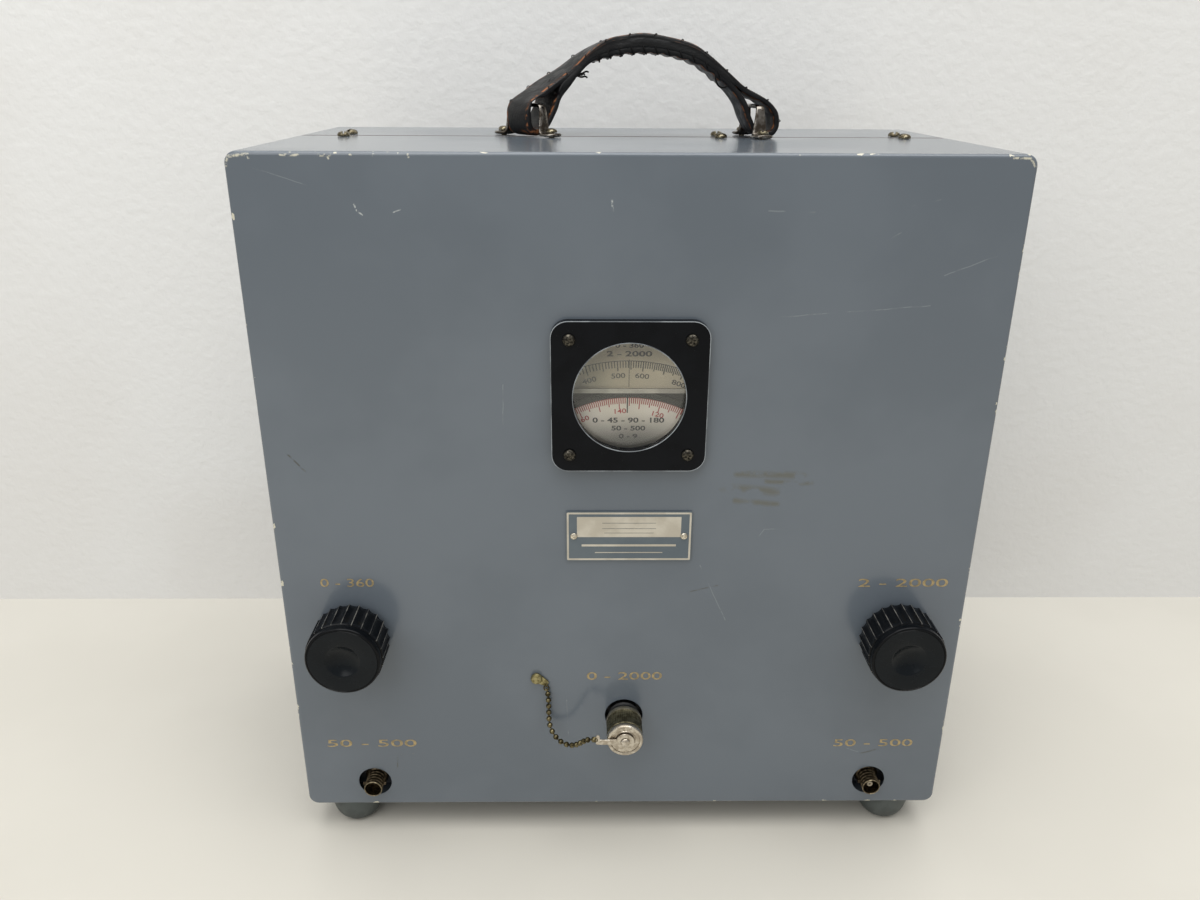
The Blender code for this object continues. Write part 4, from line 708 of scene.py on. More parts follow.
def greyed_dial_paint():
    """The inner disc's cream with painted shade: it darkens towards its middle, and its rim is painted dark
    as the shadow under the clear plate's edge.
    """
    made = finish("cream_paint_with_painted_shade", ("d3cabc", "cbc1b1"), 30, (0.5, 0.6), (0.6, 0.01))
    tree = made.node_tree
    place = add(tree, "TexCoord").outputs["Object"]
    away = add(tree, "VectorMath", {0: place}, operation="LENGTH").outputs["Value"]
    # Painted shade: the cream greys in towards the middle, where the bezel's depth keeps the dial in shade.
    clean, grey = (radius * MM for radius in PHASE_SHADE_RADII)
    share = add(tree, "MapRange", {0: away, 1: clean, 2: grey, 4: 0.95}, interpolation_type="SMOOTHSTEP")
    lay_over(made, share, "4b4944", 0.6)
    # Painted shadow: a dark rim, seen in the gap under the plate's edge.
    rim = add(tree, "MapRange", {0: away, 1: PHASE_EDGE * MM, 2: (PHASE_EDGE + 0.3) * MM})
    lay_over(made, rim, "35342c", 0.6)
    return made


painted_shade_dial = greyed_dial_paint()


def dial_disc(name, node, surface, body):
    """A dial's disc; gives back the disc's centre and the z of its front."""
    low, high = extent(node)
    centre = (*axis_of(node), 0)
    disc = turned(name, coin((high.x - low.x) / 2, high.z, low.z, DISC_EASE), 128)
    fit(name, disc, surface, centre, body, (node,))
    return centre, high.z


def magnitude_angle(value):
    """Where the outer scale has a value, in degrees from the top."""
    return MAGNITUDE_DECADE * math.log10(value / MAGNITUDE_READS)


def magnitude_dial():
    body = "magnitude_dial_group"
    centre, front = dial_disc("magnitude_disc", "magnitude_dial", dial_paint, body)
    bm = bmesh.new()
    first, last = map(magnitude_angle, MAGNITUDE_LIMITS)
    steps = range(ARC_STEPS + 1)
    arc = [spoke(first + (last - first) * k / ARC_STEPS, MAGNITUDE_ARC) for k in steps]
    for start, end in zip(arc, arc[1:]):
        bar(bm, start, end, ARC_WIDTH, front)
    for exponent in range(4):
        for tenth in range(10, 100):
            value = tenth / 10 * 10**exponent
            if not MAGNITUDE_LIMITS[0] <= value <= MAGNITUDE_LIMITS[1]:
                continue
            angle = magnitude_angle(value)
            long, width = next(size for every, *size in MAGNITUDE_TICKS if tenth % every == 0)
            bar(bm, spoke(angle, MAGNITUDE_ARC), spoke(angle, MAGNITUDE_ARC - long), width, front)
            if tenth % 10 == 0 and tenth not in UNNUMBERED_TENTHS:
                place = spoke(angle, MAGNITUDE_FIGURES)
                figures(bm, str(round(value)), place, front, MAGNITUDE_FACE, angle)
    fit("magnitude_scale", bm, black_ink, centre, body)


def phase_dial():
    body = "phase_dial_group"
    centre, front = dial_disc("phase_disc", "phase_dial", painted_shade_dial, body)
    for name, ink, way in (("phase_scale_red", red_ink, 1), ("phase_scale_black", black_ink, -1)):
        bm = bmesh.new()
        for value in range(PHASE_SIDE + 1 if way > 0 else PHASE_SIDE):
            angle = (PHASE_READS - PHASE_SIDE + way * (PHASE_SIDE - value)) * PHASE_UNIT
            long = next(long for every, long in PHASE_TICKS if value % every == 0)
            start = spoke(angle, PHASE_EDGE - 0.2)
            bar(bm, start, spoke(angle, PHASE_EDGE - long), PHASE_TICK_WIDTH, front)
            if value % 20 == 0:
                figures(bm, str(value), spoke(angle, PHASE_FIGURES), front, PHASE_FACE, angle)
        fit(name, bm, ink, centre, body)


magnitude_dial()
phase_dial()

# Window. A moulded phenolic bezel, glossy black, clamps a round glass; behind it a clear
# plate carries the two hairlines over the dials.
BEZEL_CORNER = 8.0
BEZEL_EASE = 0.8
SIGHT_RADIUS = 25.8
HIGHLIGHT_INSET = 0.25
HIGHLIGHT_WIRE = 0.2
GLASS_EASE = 0.3
SHADE_SHEET_WIDE = 55
SHADE_SHEET_DROP = 14.0
BAND_SIZE = (62, 2.2, 0.4)
BAND_RISE = 0.5
HAIRLINE = 0.3
PLATE_WEIGHT = 0.028
WINDOW_LINES = (
    ("0 - 360", 2.5, 22.2, 1.4), ("2 - 2000", 2.6, 18.2, 1.8), ("0 - 45 - 90 - 180", 2.6, -14.0, 1.5),
    ("50 - 500", 2.4, -18.0, 1.5), ("0 - 9", 2.4, -22.0, 1.5),
)
SIGHT_RING = ((27.2, -2.15), (27.6, -2.15), (27.6, -4.7), (27.2, -4.7), (27.2, -2.15))

# Float glass is all but unseen, with one faint reflection; cast acrylic has yellowed a little.
window_glass = finish(
    "window_glass", ("ffffff", "fbfdfc"), 40, (0.0, 0.002), (20, 0.0),
    Transmission_Weight=1.0, IOR=1.5, Specular_IOR_Level=0.2,
)
acrylic = finish(
    "clear_acrylic", ("f6f4ea", "f2efe2"), 40, (0.0, 0.003), (20, 0.0),
    Transmission_Weight=1.0, IOR=1.49, Specular_IOR_Level=0.2,
)

# Phenolic polished by its mould is near black under a dim, clear gloss. A pale grey wire on its crests is a
# painted highlight, a fine pale line round the bezel and round its opening.
bakelite = finish(
    "gloss_black_phenolic", ("07090d", "0b0d11"), 12, (0.08, 0.16), (1.2, 0.004),
    Specular_IOR_Level=0.12,
)
phenolic_painted_highlight = finish("phenolic_edge_painted_highlight", ("9ba1a5", "6d7276"), 12, (0.15, 0.3), (0.6, 0.01))

# Matt black gives nothing back. The pale band at the plate's lower edge is a painted highlight of that
# edge, and the olive sheets behind it are painted shade in the gap beneath it.
sight_black = finish("matt_black_paint", ("0c0c0c", "121211"), 5, (0.6, 0.75), (0.5, 0.02))
edge_highlight_paint = finish("acrylic_edge_painted_highlight", ("9d988a", "8b877a"), 9, (0.35, 0.5), (0.5, 0.02))
painted_shade_olive = finish("olive_painted_shade", ("3d3c33", "4d4b40"), 9, (0.6, 0.7), (0.5, 0.02))


def slab(outlines, back, front):
    """A flat plate between two z; the first outline is its edge and the others are holes."""
    bm = bmesh.new()
    edges = []
    for outline in outlines:
        ring = set_out(bm, [(x, y, back) for x, y in outline])
        edges += [bm.edges.new((ring[k - 1], ring[k])) for k in range(len(ring))]
    made = bmesh.ops.triangle_fill(bm, edges=edges, use_beauty=True)["geom"]
    faces = [f for f in made if isinstance(f, bmesh.types.BMFace)]
    made = bmesh.ops.extrude_face_region(bm, geom=faces)["geom"]
    risen = [v for v in made if isinstance(v, bmesh.types.BMVert)]
    bmesh.ops.translate(bm, verts=risen, vec=(0, 0, (front - back) * MM))
    return bm


def bezel_mesh(side, back, front):
    """A square frame, its outer edge and its round opening rolled."""
    turns = [math.pi / 2 * k / 6 for k in range(7)]
    rolled = [(BEZEL_EASE * (1 - math.cos(t)), front + BEZEL_EASE * (math.sin(t) - 1)) for t in turns]
    bm = bmesh.new()
    outer, inner = [], []
    for inset, z in [(0, back)] + rolled:
        outline = rounded(side - 2 * inset, side - 2 * inset, BEZEL_CORNER - inset)
        outer.append(set_out(bm, [(x, y, z) for x, y in outline]))
        inner.append(set_out(bm, [(x, y, z) for x, y in circle(SIGHT_RADIUS + inset, 96)]))
    loft(bm, outer)
    loft(bm, inner)
    for end in (0, -1):
        edges = rim_edges(bm, outer[end]) + rim_edges(bm, inner[end])
        bmesh.ops.triangle_fill(bm, edges=edges, use_beauty=True)
    return finished("moulded_bezel", bm, 40)


def bezel():
    low, high = extent("window_bezel")
    x, y = axis_of("window_bezel")
    side = high.x - low.x
    mesh = bezel_mesh(side, low.z, high.z)
    frame_piece = fit(
        "moulded_bezel", mesh, bakelite, (x, y, 0), stands_for=("window_bezel",)
    )
    frame_piece.modifiers.new("shading", "WEIGHTED_NORMAL").keep_sharp = True
    # Painted highlight: thin pale wires along the bezel's outer crest and round its opening.
    bm = bmesh.new()
    crest = rounded(side - 2 * HIGHLIGHT_INSET, side - 2 * HIGHLIGHT_INSET, BEZEL_CORNER - HIGHLIGHT_INSET, x, y)
    tube(bm, [(*point, high.z - HIGHLIGHT_INSET) for point in crest], HIGHLIGHT_WIRE, closed=True)
    sight = circle(SIGHT_RADIUS + HIGHLIGHT_INSET, 96, x, y)
    tube(bm, [(*point, high.z - HIGHLIGHT_WIRE) for point in sight], HIGHLIGHT_WIRE, closed=True)
    fit("bezel_painted_highlight", bm, phenolic_painted_highlight)
    low, high = extent("window_glass")
    pane = turned("window_pane", coin((high.x - low.x) / 2, high.z, low.z, GLASS_EASE), 96)
    glass = fit(
        "window_pane", pane, window_glass, (x, y, 0), stands_for=("window_glass",)
    )
    glass.visible_shadow = False


def index_plate():
    """The clear plate, the olive sheets of painted shade behind its lower edge, its print and the pale band
    painted as that edge's highlight.
    """
    low, high = extent("index_plate")
    plate = fit(
        "clear_index_plate", slab([rounded(high.x - low.x, high.y - low.y, 2)], low.z, high.z),
        acrylic, (*axis_of("index_plate"), 0), stands_for=("index_plate",), ease=0.15,
    )
    plate.visible_shadow = False
    edge_y, magnitude_front_z, face = low.y, extent("magnitude_dial")[1].z, high.z
    leaf = (SHADE_SHEET_WIDE, 0.5, 0.2, 0, edge_y - 0.35)
    mask = (SHADE_SHEET_WIDE, SHADE_SHEET_DROP, 0.5, 0, edge_y - SHADE_SHEET_DROP / 2)
    band = (*BAND_SIZE, 0, edge_y + BAND_RISE)
    # The two olive sheets are painted shade under the plate's edge; the pale band is a painted highlight of
    # that edge.
    slips = (
        ("painted_shade_leaf", leaf, magnitude_front_z + 0.6, low.z - 0.1, painted_shade_olive, "dial_paint", 0),
        ("painted_shade_sheet", mask, magnitude_front_z + 0.5, magnitude_front_z + 0.9, painted_shade_olive, "dial_paint", 0),
        ("plate_edge_painted_highlight", band, face + 0.02, face + 0.3, edge_highlight_paint, "clear_sheet", 0.12),
    )
    for name, outline, back, front, surface, slot, ease in slips:
        fit(name, slab([rounded(*outline)], back, front), surface, ease=ease)
    bm = bmesh.new()
    bar(bm, (0, edge_y + 2.4), (0, edge_y + 15.6), HAIRLINE, face + 0.05)
    bar(bm, (-0.6, edge_y - 0.9), (-0.6, edge_y - 10.2), 2 * HAIRLINE, low.z + 3.1)
    for words, height, rise, stretch in WINDOW_LINES:
        figures(bm, words, (0, edge_y + rise), face + 0.05, (height, stretch, PLATE_WEIGHT))
    fit("window_print", bm, black_ink)


def sight_ring():
    """A blackened ring behind the glass that closes the panel's hole off from the case."""
    ring = turned("sight_ring", SIGHT_RING, 96)
    fit("sight_ring", ring, sight_black, (*axis_of("window_bezel"), 0))


bezel()
index_plate()
sight_ring()

# Fasteners. Plated steel round-head screws. The bezel's four have crossed recesses, and the
# others, along the deck's seam and in the brackets' feet, have a plain slot.
SLOT_SHARES = (2.4, 0.4)
CROSS_SHARES = (1.1, 0.32)

# Nickel plate gives pale warm glints, browned nickel dim ones, and tarnished steel hardly any.
nickel_screw = finish(
    "nickel_plated_steel", ("e0d9c9", "bdb5a4"), 1.6, (0.2, 0.4), (0.4, 0.02), Metallic=1.0
)
brown_screw = finish(
    "browned_nickel_screw", ("8d8570", "554d3c"), 1.6, (0.2, 0.36), (0.4, 0.02), Metallic=1.0
)
dull_screw = finish("tarnished_steel", ("5c584f", "2e2c28"), 1.2, (0.25, 0.45), (0.4, 0.04), Metallic=1.0)


def baked(piece):
    """Applies a piece's modifiers and gives back its mesh; the piece itself goes."""
    bpy.context.view_layer.update()
    whole = piece.evaluated_get(bpy.context.evaluated_depsgraph_get())
    mesh = bpy.data.meshes.new_from_object(whole)
    bpy.data.objects.remove(piece)
    return mesh


def screw(name, radius, height, crossed=False, shank=0, steps=40):
    """A screw whose domed head stands on z = 0; the slot or cross is half as deep as the head."""
    turns = [math.pi / 2 * k / 8 for k in range(9)]
    rise = [height * (0.12 + 0.88 * math.cos(turn) ** 0.9) for turn in turns]
    profile = [(radius * math.sin(turn) ** 0.85, z) for turn, z in zip(turns, rise)]
    profile += [(radius * 0.97, 0)]
    if shank:
        profile += [(radius * 0.5, 0), (radius * 0.5, -shank)]
    profile += [(0, -shank)]
    head = placed(name, turned(name, profile, steps))
    long, wide = CROSS_SHARES if crossed else SLOT_SHARES
    cutters = []
    for turn in (0, math.pi / 2) if crossed else (0,):
        bm = bmesh.new()
        bmesh.ops.create_cube(bm, size=1)
        bmesh.ops.scale(bm, verts=bm.verts, vec=Vector((long * radius, wide * radius, height)) * MM)
        bmesh.ops.translate(bm, verts=bm.verts, vec=(0, 0, height * MM))
        bmesh.ops.rotate(bm, verts=bm.verts, matrix=Matrix.Rotation(turn, 3, "Z"))
        cutter = placed("cutter", meshed("cutter", bm))
        cut = head.modifiers.new("slot", "BOOLEAN")
        cut.object = cutter
        cut.solver = "EXACT"
        cutters.append(cutter)
    mesh = baked(head)
    for cutter in cutters:
        bpy.data.objects.remove(cutter)
    mesh.set_sharp_from_angle(angle=math.radians(35))
    return mesh


def screws():
    facing = Matrix()
    upward = Matrix.Rotation(-math.pi / 2, 4, "X")
    kinds = (
        ("bezel_screw", 4, 2.9, 1.8, True, dull_screw, facing),
        ("case_screw", 6, 3.2, 2.4, False, brown_screw, upward),
        ("bracket_screw", 4, 2.9, 2.0, False, brown_screw, upward),
    )
    turns = random.Random(7)
    for kind, count, radius, height, crossed, surface, way in kinds:
        low, high = extent(kind + "_1")
        tall = high.z - low.z if way is facing else high.y - low.y
        mesh = screw(kind, radius, height, crossed, tall - height)
        for number in range(1, count + 1):
            name = f"{kind}_{number}"
            low, high = extent(name)
            seat = (low + high) / 2
            if way is facing:
                seat.z = high.z - height
            else:
                seat.y = high.y - height
            turn = way @ Matrix.Rotation(turns.uniform(0, math.pi), 4, "Z")
            fit("dressed_" + name, mesh, surface, seat, stands_for=(name,), turn=turn)


screws()

# Nameplate. Thin aluminium, etched and filled with a grey like the case's. Its fields have
# plain ruled lines, and two small pan-head screws hold it.
FIELD_SIZE = (50.5, 10.8)
FIELD_DROP = 8.1
PRINT_RISE = 0.04
RULES = ((26, -6.0, 0.32), (26, -8.9, 0.32), (24, -11.3, 0.26), (46, -18.0, 1.1), (33, -21.9, 0.4))
INKED_RULES = 3
PLATE_SCREW_X = 26.8
PLATE_SCREW_DROP = 13.0

# The etched metal is pale and only half as bright as polished; the filler and the ink are flat.
plate_fill = finish("grey_etch_filler", ("5c666c", "566067"), 20, (0.3, 0.4), (0.6, 0.01))
etched_metal = finish(
    "etched_aluminium", ("c9c3b5", "bbb4a5"), 14, (0.4, 0.55), (0.5, 0.01), Metallic=0.35
)
rule_ink = finish("faded_rule_ink", ("8b8a82", "7a7a73"), 3, (0.5, 0.6), (0.5, 0.01))


def nameplate():
    low, high = extent("nameplate")
    x, y = axis_of("nameplate")
    wide, tall = high.x - low.x, high.y - low.y
    fit(
        "blank_nameplate", slab([rounded(wide, tall, 0.6)], low.z, high.z), plate_fill,
        (x, y, 0), stands_for=("nameplate",), ease=0.2,
    )
    border = [rounded(wide - 0.7, tall - 0.7, 0.5), rounded(wide - 2.5, tall - 2.5, 0.3)]
    field = [rounded(*FIELD_SIZE, 0.2, 0, tall / 2 - FIELD_DROP)]
    for name, outlines in (("nameplate_border", border), ("nameplate_field", field)):
        bm = slab(outlines, high.z, high.z + PRINT_RISE)
        fit(name, bm, etched_metal, (x, y, 0))
    for number, (long, drop, thick) in enumerate(RULES, 1):
        bm = bmesh.new()
        level = tall / 2 + drop
        bar(bm, (-long / 2, level), (long / 2, level), thick, high.z + PRINT_RISE - 0.02)
        ink = rule_ink if number <= INKED_RULES else etched_metal
        fit(f"nameplate_rule_{number}", bm, ink, (x, y, 0))
    mesh = screw("plate_screw", 1.75, 0.9, True, steps=24)
    for number, side in ((1, -1), (2, 1)):
        turn = Matrix.Rotation(0.7 * number, 4, "Z")
        seat = (x + side * PLATE_SCREW_X, y + tall / 2 - PLATE_SCREW_DROP, high.z)
        fit(f"plate_screw_{number}", mesh, nickel_screw, seat, turn=turn)


nameplate()

# Legends. Plain ranges of figures cut into the panel and filled with gold paint, one line over
# each knob and connector.
LEGENDS = (
    ("0 - 360", -138.3, 138.0, 26.5),
    ("2 - 2000", 138.5, 137.6, 45.0),
    ("0 - 2000", 0.0, 82.8, 39.0),
    ("50 - 500", -134.2, 40.6, 47.5),
    ("50 - 500", 134.1, 39.8, 42.5),
)
LEGEND_FACE = (4.6, 1.0, 0.004)

# Gold paint, dulled with age, is an ochre with hardly any glint.
gold_fill = finish(
    "gold_filled_engraving", ("b39d70", "8e7f60"), 2.2, (0.4, 0.55), (0.6, 0.03), Metallic=0.3
)


def legends():
    for number, (words, x, y, width) in enumerate(LEGENDS, 1):
        bm = bmesh.new()
        figures(bm, words, (0, 0), 0, LEGEND_FACE)
        across = [v.co.x for v in bm.verts]
        wide = (max(across) - min(across)) / MM
        bmesh.ops.scale(bm, verts=bm.verts, vec=(width / wide, 1, 1))
        fit(f"gold_figures_{number}", bm, gold_fill, (x, y, 0))


legends()

# Knobs. Moulded black phenolic with two dozen scallops, a plain band behind the face and a
# shallow dimple for a fingertip.
FLUTES = 24
FLUTE_FACES = 12
FLUTE_DEPTH = 1.0
BAND_BACK = 18
KNOB_FACE = (
    (0, 19.0), (2.5, 19.23), (4.5, 19.75), (6.0, 20.36), (7.5, 21.18), (8.2, 21.64), (8.6, 21.9),
    (8.9, 22.0), (16.8, 22.0), (16.95, 21.8), (17.2, 21.8), (17.35, 22.0), (17.8, 21.95),
    (18.15, 21.6), (18.3, 21.1), (18.3, 18.2), (18.6, 18.0), (19, 17.8),
)
KNOB_BACK = ((19, 0.4), (18.6, 0), (5, 0), (5, 2), (0, 2))

# Phenolic has a satin sheen along each ridge. Thumbs have dulled the face, which spreads its shine; its
# base is a shade lighter and bluer than the barrel's, a painted sheen. A thin grey line on each ridge's
# crest is a painted highlight.
knob_phenolic = finish(
    "satin_black_phenolic", ("05070a", "080a0d"), 8, (0.14, 0.2), (0.7, 0.003),
    Specular_IOR_Level=0.15,
)
thumbed_phenolic_with_sheen = finish(
    "thumbed_black_phenolic_painted_sheen", ("0a0f13", "0c1115"), 8, (0.24, 0.3), (0.7, 0.003),
    Specular_IOR_Level=0.17,
)
ridge_painted_highlight = finish("black_phenolic_painted_highlight", ("6e6c66", "2b2b2a"), 6, (0.3, 0.45), (0.7, 0.01))


def painted(mesh, surfaces, pick):
    """Gives a turned piece its surfaces; pick numbers one for a face's radius, z and turn."""
    for surface in surfaces:
        mesh.materials.append(surface)
    for face in mesh.polygons:
        x, y, z = face.center / MM
        face.material_index = pick(math.hypot(x, y), z, math.atan2(y, x))
    return mesh


def knob_shape(radius, z, turn):
    """Draws the barrel in along the scallops, which run out into the band."""
    if radius < 18.5 or z > BAND_BACK:
        return radius
    place = (turn * FLUTES / (2 * math.pi) + 0.5 / FLUTE_FACES) % 1 * 2 - 1
    deep = max(0.0, 1 - (abs(place) / 0.9) ** 2) ** 0.7
    return radius - FLUTE_DEPTH * deep * min(1.0, (BAND_BACK - z) / 1.5)


def knob_surface(radius, z, turn):
    """Numbers the crests' painted highlight 1, the face with its painted sheen 2 and the rest 0."""
    if radius < 16.8 and z > 18.9:
        return 2
    share = turn * FLUTES / (2 * math.pi)
    # A thin strip on each crest carries the painted highlight.
    crest = abs((share + 0.5 / FLUTE_FACES + 0.5) % 1 - 0.5) < 0.02
    return int(crest and radius > 18.4 and 1 < z < BAND_BACK)


def knob(name, body):
    profile = [*KNOB_FACE, *((19, 16.3 - 1.5 * k) for k in range(10)), *KNOB_BACK]
    mesh = turned(name, profile, FLUTES * FLUTE_FACES, knob_shape, 50)
    painted(mesh, (knob_phenolic, ridge_painted_highlight, thumbed_phenolic_with_sheen), knob_surface)
    seat = (*axis_of(name), extent(name)[0].z)
    fit("fluted_" + name, mesh, knob_phenolic, seat, body, (name,))


knob("phase_knob", "phase_drive")
knob("magnitude_knob", "magnitude_drive")

# Unknown connector. A nickel-plated brass socket with a coarse thread; its dust cap is a
# knurled cup with a riveted front that holds the chain's lug.
CAP_RIDGES = 60
KNURL_DEPTH = 0.22
CAP_PROFILE = (
    (0, 23.5), (1.2, 23.35), (2.0, 23.0), (2.4, 22.45), (2.4, 22.4), (1.6, 22.4), (1.6, 20.4),
    (4.9, 20.4), (5.1, 20.7), (5.5, 20.7), (5.7, 20.4), (7.3, 20.4), (7.6, 20.9),
    (8.2, 21.1), (8.8, 21.0), (9.2, 20.5), (9.25, 19.9), (9.25, 18.6), (9.1, 18.4),
    (8.8, 18.3), (8.8, 17.8), (9.1, 17.7), (9.25, 17.5), (9.25, 17.2), (9.24, 17.0),
    (9.24, 12), (9.24, 7.5), (9.25, 7.3), (9.2, 7.1), (8.9, 7.0), (8.9, 6.6), (9.2, 6.5),
    (9.25, 6.3), (9.25, 4.6), (9.0, 4.0), (8.7, 2.5), (8.2, 2.5), (8.2, 18), (0, 18),
)
SOCKET_FRONT = ((0, 6), (1.3, 6), (1.3, 4), (5.4, 4), (5.4, 12.7), (5.7, 13), (7.4, 13))
SOCKET_BACK = ((6.8, -3), (6.8, -6.7), (12, -6.7), (12, -9.7), (0, -9.7))
THREAD_TURNS = 9
THREAD_PITCH = 1.6
LUG_EYE = 4.8
LUG_HALF = 1.5
LUG_TAIL = (
    (-12.9, 1.5), (-12.9, 3.6), (-13.3, 4.2), (-14.4, 4.2), (-14.9, 3.6), (-14.9, -0.9), (-14.2, -1.5),
)

# Nickel on the cap's face and lug is pale and clouded, on the rear band greyer and softer. The knurling
# holds old polish, a dull olive, and matt black painted shade fills the gap to the panel, on the cap's rear
# edge and the thread's root.
cap_nickel = finish(
    "nickel_plated_brass", ("cdc5b7", "afa595"), 2.5, (0.26, 0.42), (0.4, 0.02), Metallic=1.0
)
knurl_nickel = finish(
    "dull_knurled_nickel", ("7d775f", "4f4a38"), 2.5, (0.34, 0.5), (0.3, 0.05), Metallic=1.0
)
satin_nickel = finish("satin_nickel_band", ("a09a8a", "7d7868"), 3, (0.42, 0.55), (0.3, 0.02), Metallic=1.0)
painted_shade_black = finish("matt_black_painted_shade", ("0b0b0b", "131313"), 3, (0.55, 0.7), (0.4, 0.03))


def cap_shape(radius, z, turn):
    """Straight knurling on the barrel between its two plain bands."""
    if radius < 9.2 or not 7.4 < z < 17.1:
        return radius
    return radius - KNURL_DEPTH * (0.5 + 0.5 * math.cos(turn * CAP_RIDGES))


def cap_surface(radius, z, turn):
    """Numbers the knurling 1, the rear band 2, the rear edge in painted shade 3 and the rest 0."""
    if radius <= 8.3 or z >= 18.4:
        return 0
    return 1 if z > 7 else 2 if z > 4.6 else 3


def unknown_connector():
    centre = (*axis_of("unknown_cap"), 0)
    mesh = turned("dust_cap", CAP_PROFILE, CAP_RIDGES * 4, cap_shape, 40)
    painted(mesh, (cap_nickel, knurl_nickel, satin_nickel, painted_shade_black), cap_surface)
    fit("dust_cap", mesh, cap_nickel, centre, "cap", ("unknown_cap",))
    profile = list(SOCKET_FRONT)
    for turn in range(THREAD_TURNS):
        profile += [(7.9, 12.4 - THREAD_PITCH * turn), (7.3, 11.6 - THREAD_PITCH * turn)]
    mesh = turned("threaded_socket", profile + list(SOCKET_BACK), 64)
    # Painted shade: the thread's root, in the shadow of the panel's hole, is painted matt black.
    painted(mesh, (cap_nickel, painted_shade_black), lambda radius, z, turn: int(radius > 6 and z < 3.4))
    fit("threaded_socket", mesh, cap_nickel, centre, stands_for=("unknown_jack",))
    meet = math.asin(LUG_HALF / LUG_EYE)
    turns = [-math.pi + meet + 2 * (math.pi - meet) * k / 40 for k in range(41)]
    outline = [(LUG_EYE * math.cos(t), LUG_EYE * math.sin(t)) for t in turns]
    lug = slab([outline + list(LUG_TAIL), circle(1.9, 24)], 21.3, 22.1)
    fit(
        "stamped_cap_lug", lug, cap_nickel, centre, "cap_carrier", ("cap_lug",),
        ease=0.25,
    )


unknown_connector()

# Small jacks. Bayonet jacks of turned brass, dark with age, each with two pins, a white
# insulator and a centre contact.
JACK_BORE = ((0, -1.3), (1.1, -1.3), (1.1, -2.8), (4.05, -2.8), (4.2, 5.9))
JACK_LIP = ((4.4, 6.2), (4.65, 6.1), (4.83, 5.8), (4.83, 4.9))
JACK_RINGS = 4
JACK_RING_PITCH = 2.1
JACK_BACK = ((4.83, -4), (5.6, -4.4), (6.2, -5), (6.2, -11.7), (4.6, -12), (4.6, -20.7), (0, -20.7))
CONTACT_SLEEVE = ((0, 0.5), (0.7, 0.5), (0.7, 3.4), (1.5, 3.4), (1.5, -1.3), (0, -1.3))
PIN_RADIUS = 0.9

# Aged brass is a dark brown with a few dull glints, its rim is worn lighter, and the plastic
# insulator is an ivory that shines a little.
jack_brass = finish("aged_brass", ("6b5f4c", "3a3226"), 2, (0.28, 0.48), (0.4, 0.04), Metallic=1.0)
jack_rim = finish("worn_jack_rim", ("94886f", "6b604d"), 1.5, (0.34, 0.48), (0.4, 0.03), Metallic=1.0)
insulator = finish("white_polystyrene", ("b9ae98", "a3977f"), 2, (0.4, 0.5), (0.4, 0.02))


def jack_surface(radius, z, turn):
    """Numbers the worn rim 1, the insulator's face 2 and the rest 0."""
    if radius > 3.9:
        return int(z > 5.5)
    return 2 if -3 < z < -2 else 0


def small_jack(name, sleeve):
    centre = (*axis_of(name), 0)
    profile = [*JACK_BORE, *JACK_LIP]
    for ring in range(JACK_RINGS):
        z = 4.7 - JACK_RING_PITCH * ring
        profile += [(4.5, z), (4.5, z - 0.6), (4.83, z - 0.8), (4.83, z - 1.8)]
    mesh = turned(name, profile + list(JACK_BACK), 48)
    painted(mesh, (jack_brass, jack_rim, insulator), jack_surface)
    fit("turned_" + name, mesh, jack_brass, centre, stands_for=(name,))
    for number, side in ((1, -1), (2, 1)):
        bm = bmesh.new()
        tube(bm, [(side * 4.4, 0, 1.2), (side * 6.03, 0, 1.2)], PIN_RADIUS, 20)
        fit(f"{name}_pin_{number}", bm, jack_brass, centre)
    if sleeve:
        ring = turned("contact_sleeve", CONTACT_SLEEVE, 32)
        fit(f"{name}_contact_sleeve", ring, insulator, centre)


small_jack("generator_jack", sleeve=False)
small_jack("detector_jack", sleeve=True)

# Chain anchor. A domed brass screw clamps the stamped brass lug of the chain to the panel,
# beside the dust cap.
ANCHOR_HEAD = (
    (0, 2.0), (1.1, 1.95), (1.3, 1.8), (1.55, 1.85), (2.1, 1.65), (2.3, 1.4), (2.5, 1.4),
    (2.85, 0.9), (3.0, 0.3), (2.9, 0), (1.5, 0),
)
ANCHOR_RISE = 2.0

# Brass that fingers keep half clean is a soft, greenish yellow.
anchor_brass = finish("anchor_brass", ("a39a72", "7c734f"), 1.6, (0.38, 0.5), (0.3, 0.05), Metallic=1.0)


def chain_anchor():
    low, high = extent("chain_anchor_screw")
    seat = (*axis_of("chain_anchor_screw"), high.z - ANCHOR_RISE)
    foot = low.z - seat[2]
    mesh = turned("anchor_screw", [*ANCHOR_HEAD, (1.5, foot), (0, foot)], 48)
    fit("anchor_screw", mesh, anchor_brass, seat, stands_for=("chain_anchor_screw",))
    coat_solids(anchor_brass, ("chain_anchor_lug",))


chain_anchor()

# Feet. Blunt domes moulded in grey rubber; one is screwed under each corner of the case, and
# they keep its floor 18 mm off the bench.
FOOT_HEIGHT = 18.5
FOOT_TIP = 5
FOOT_SWELL = 9.5
FOOT_SQUARENESS = 2 / 2.3

# Rubber is matt, and its sheen is broad and weak.
foot_rubber = finish("moulded_grey_rubber", ("4a504e", "434846"), 10, (0.5, 0.62), (0.8, 0.05))


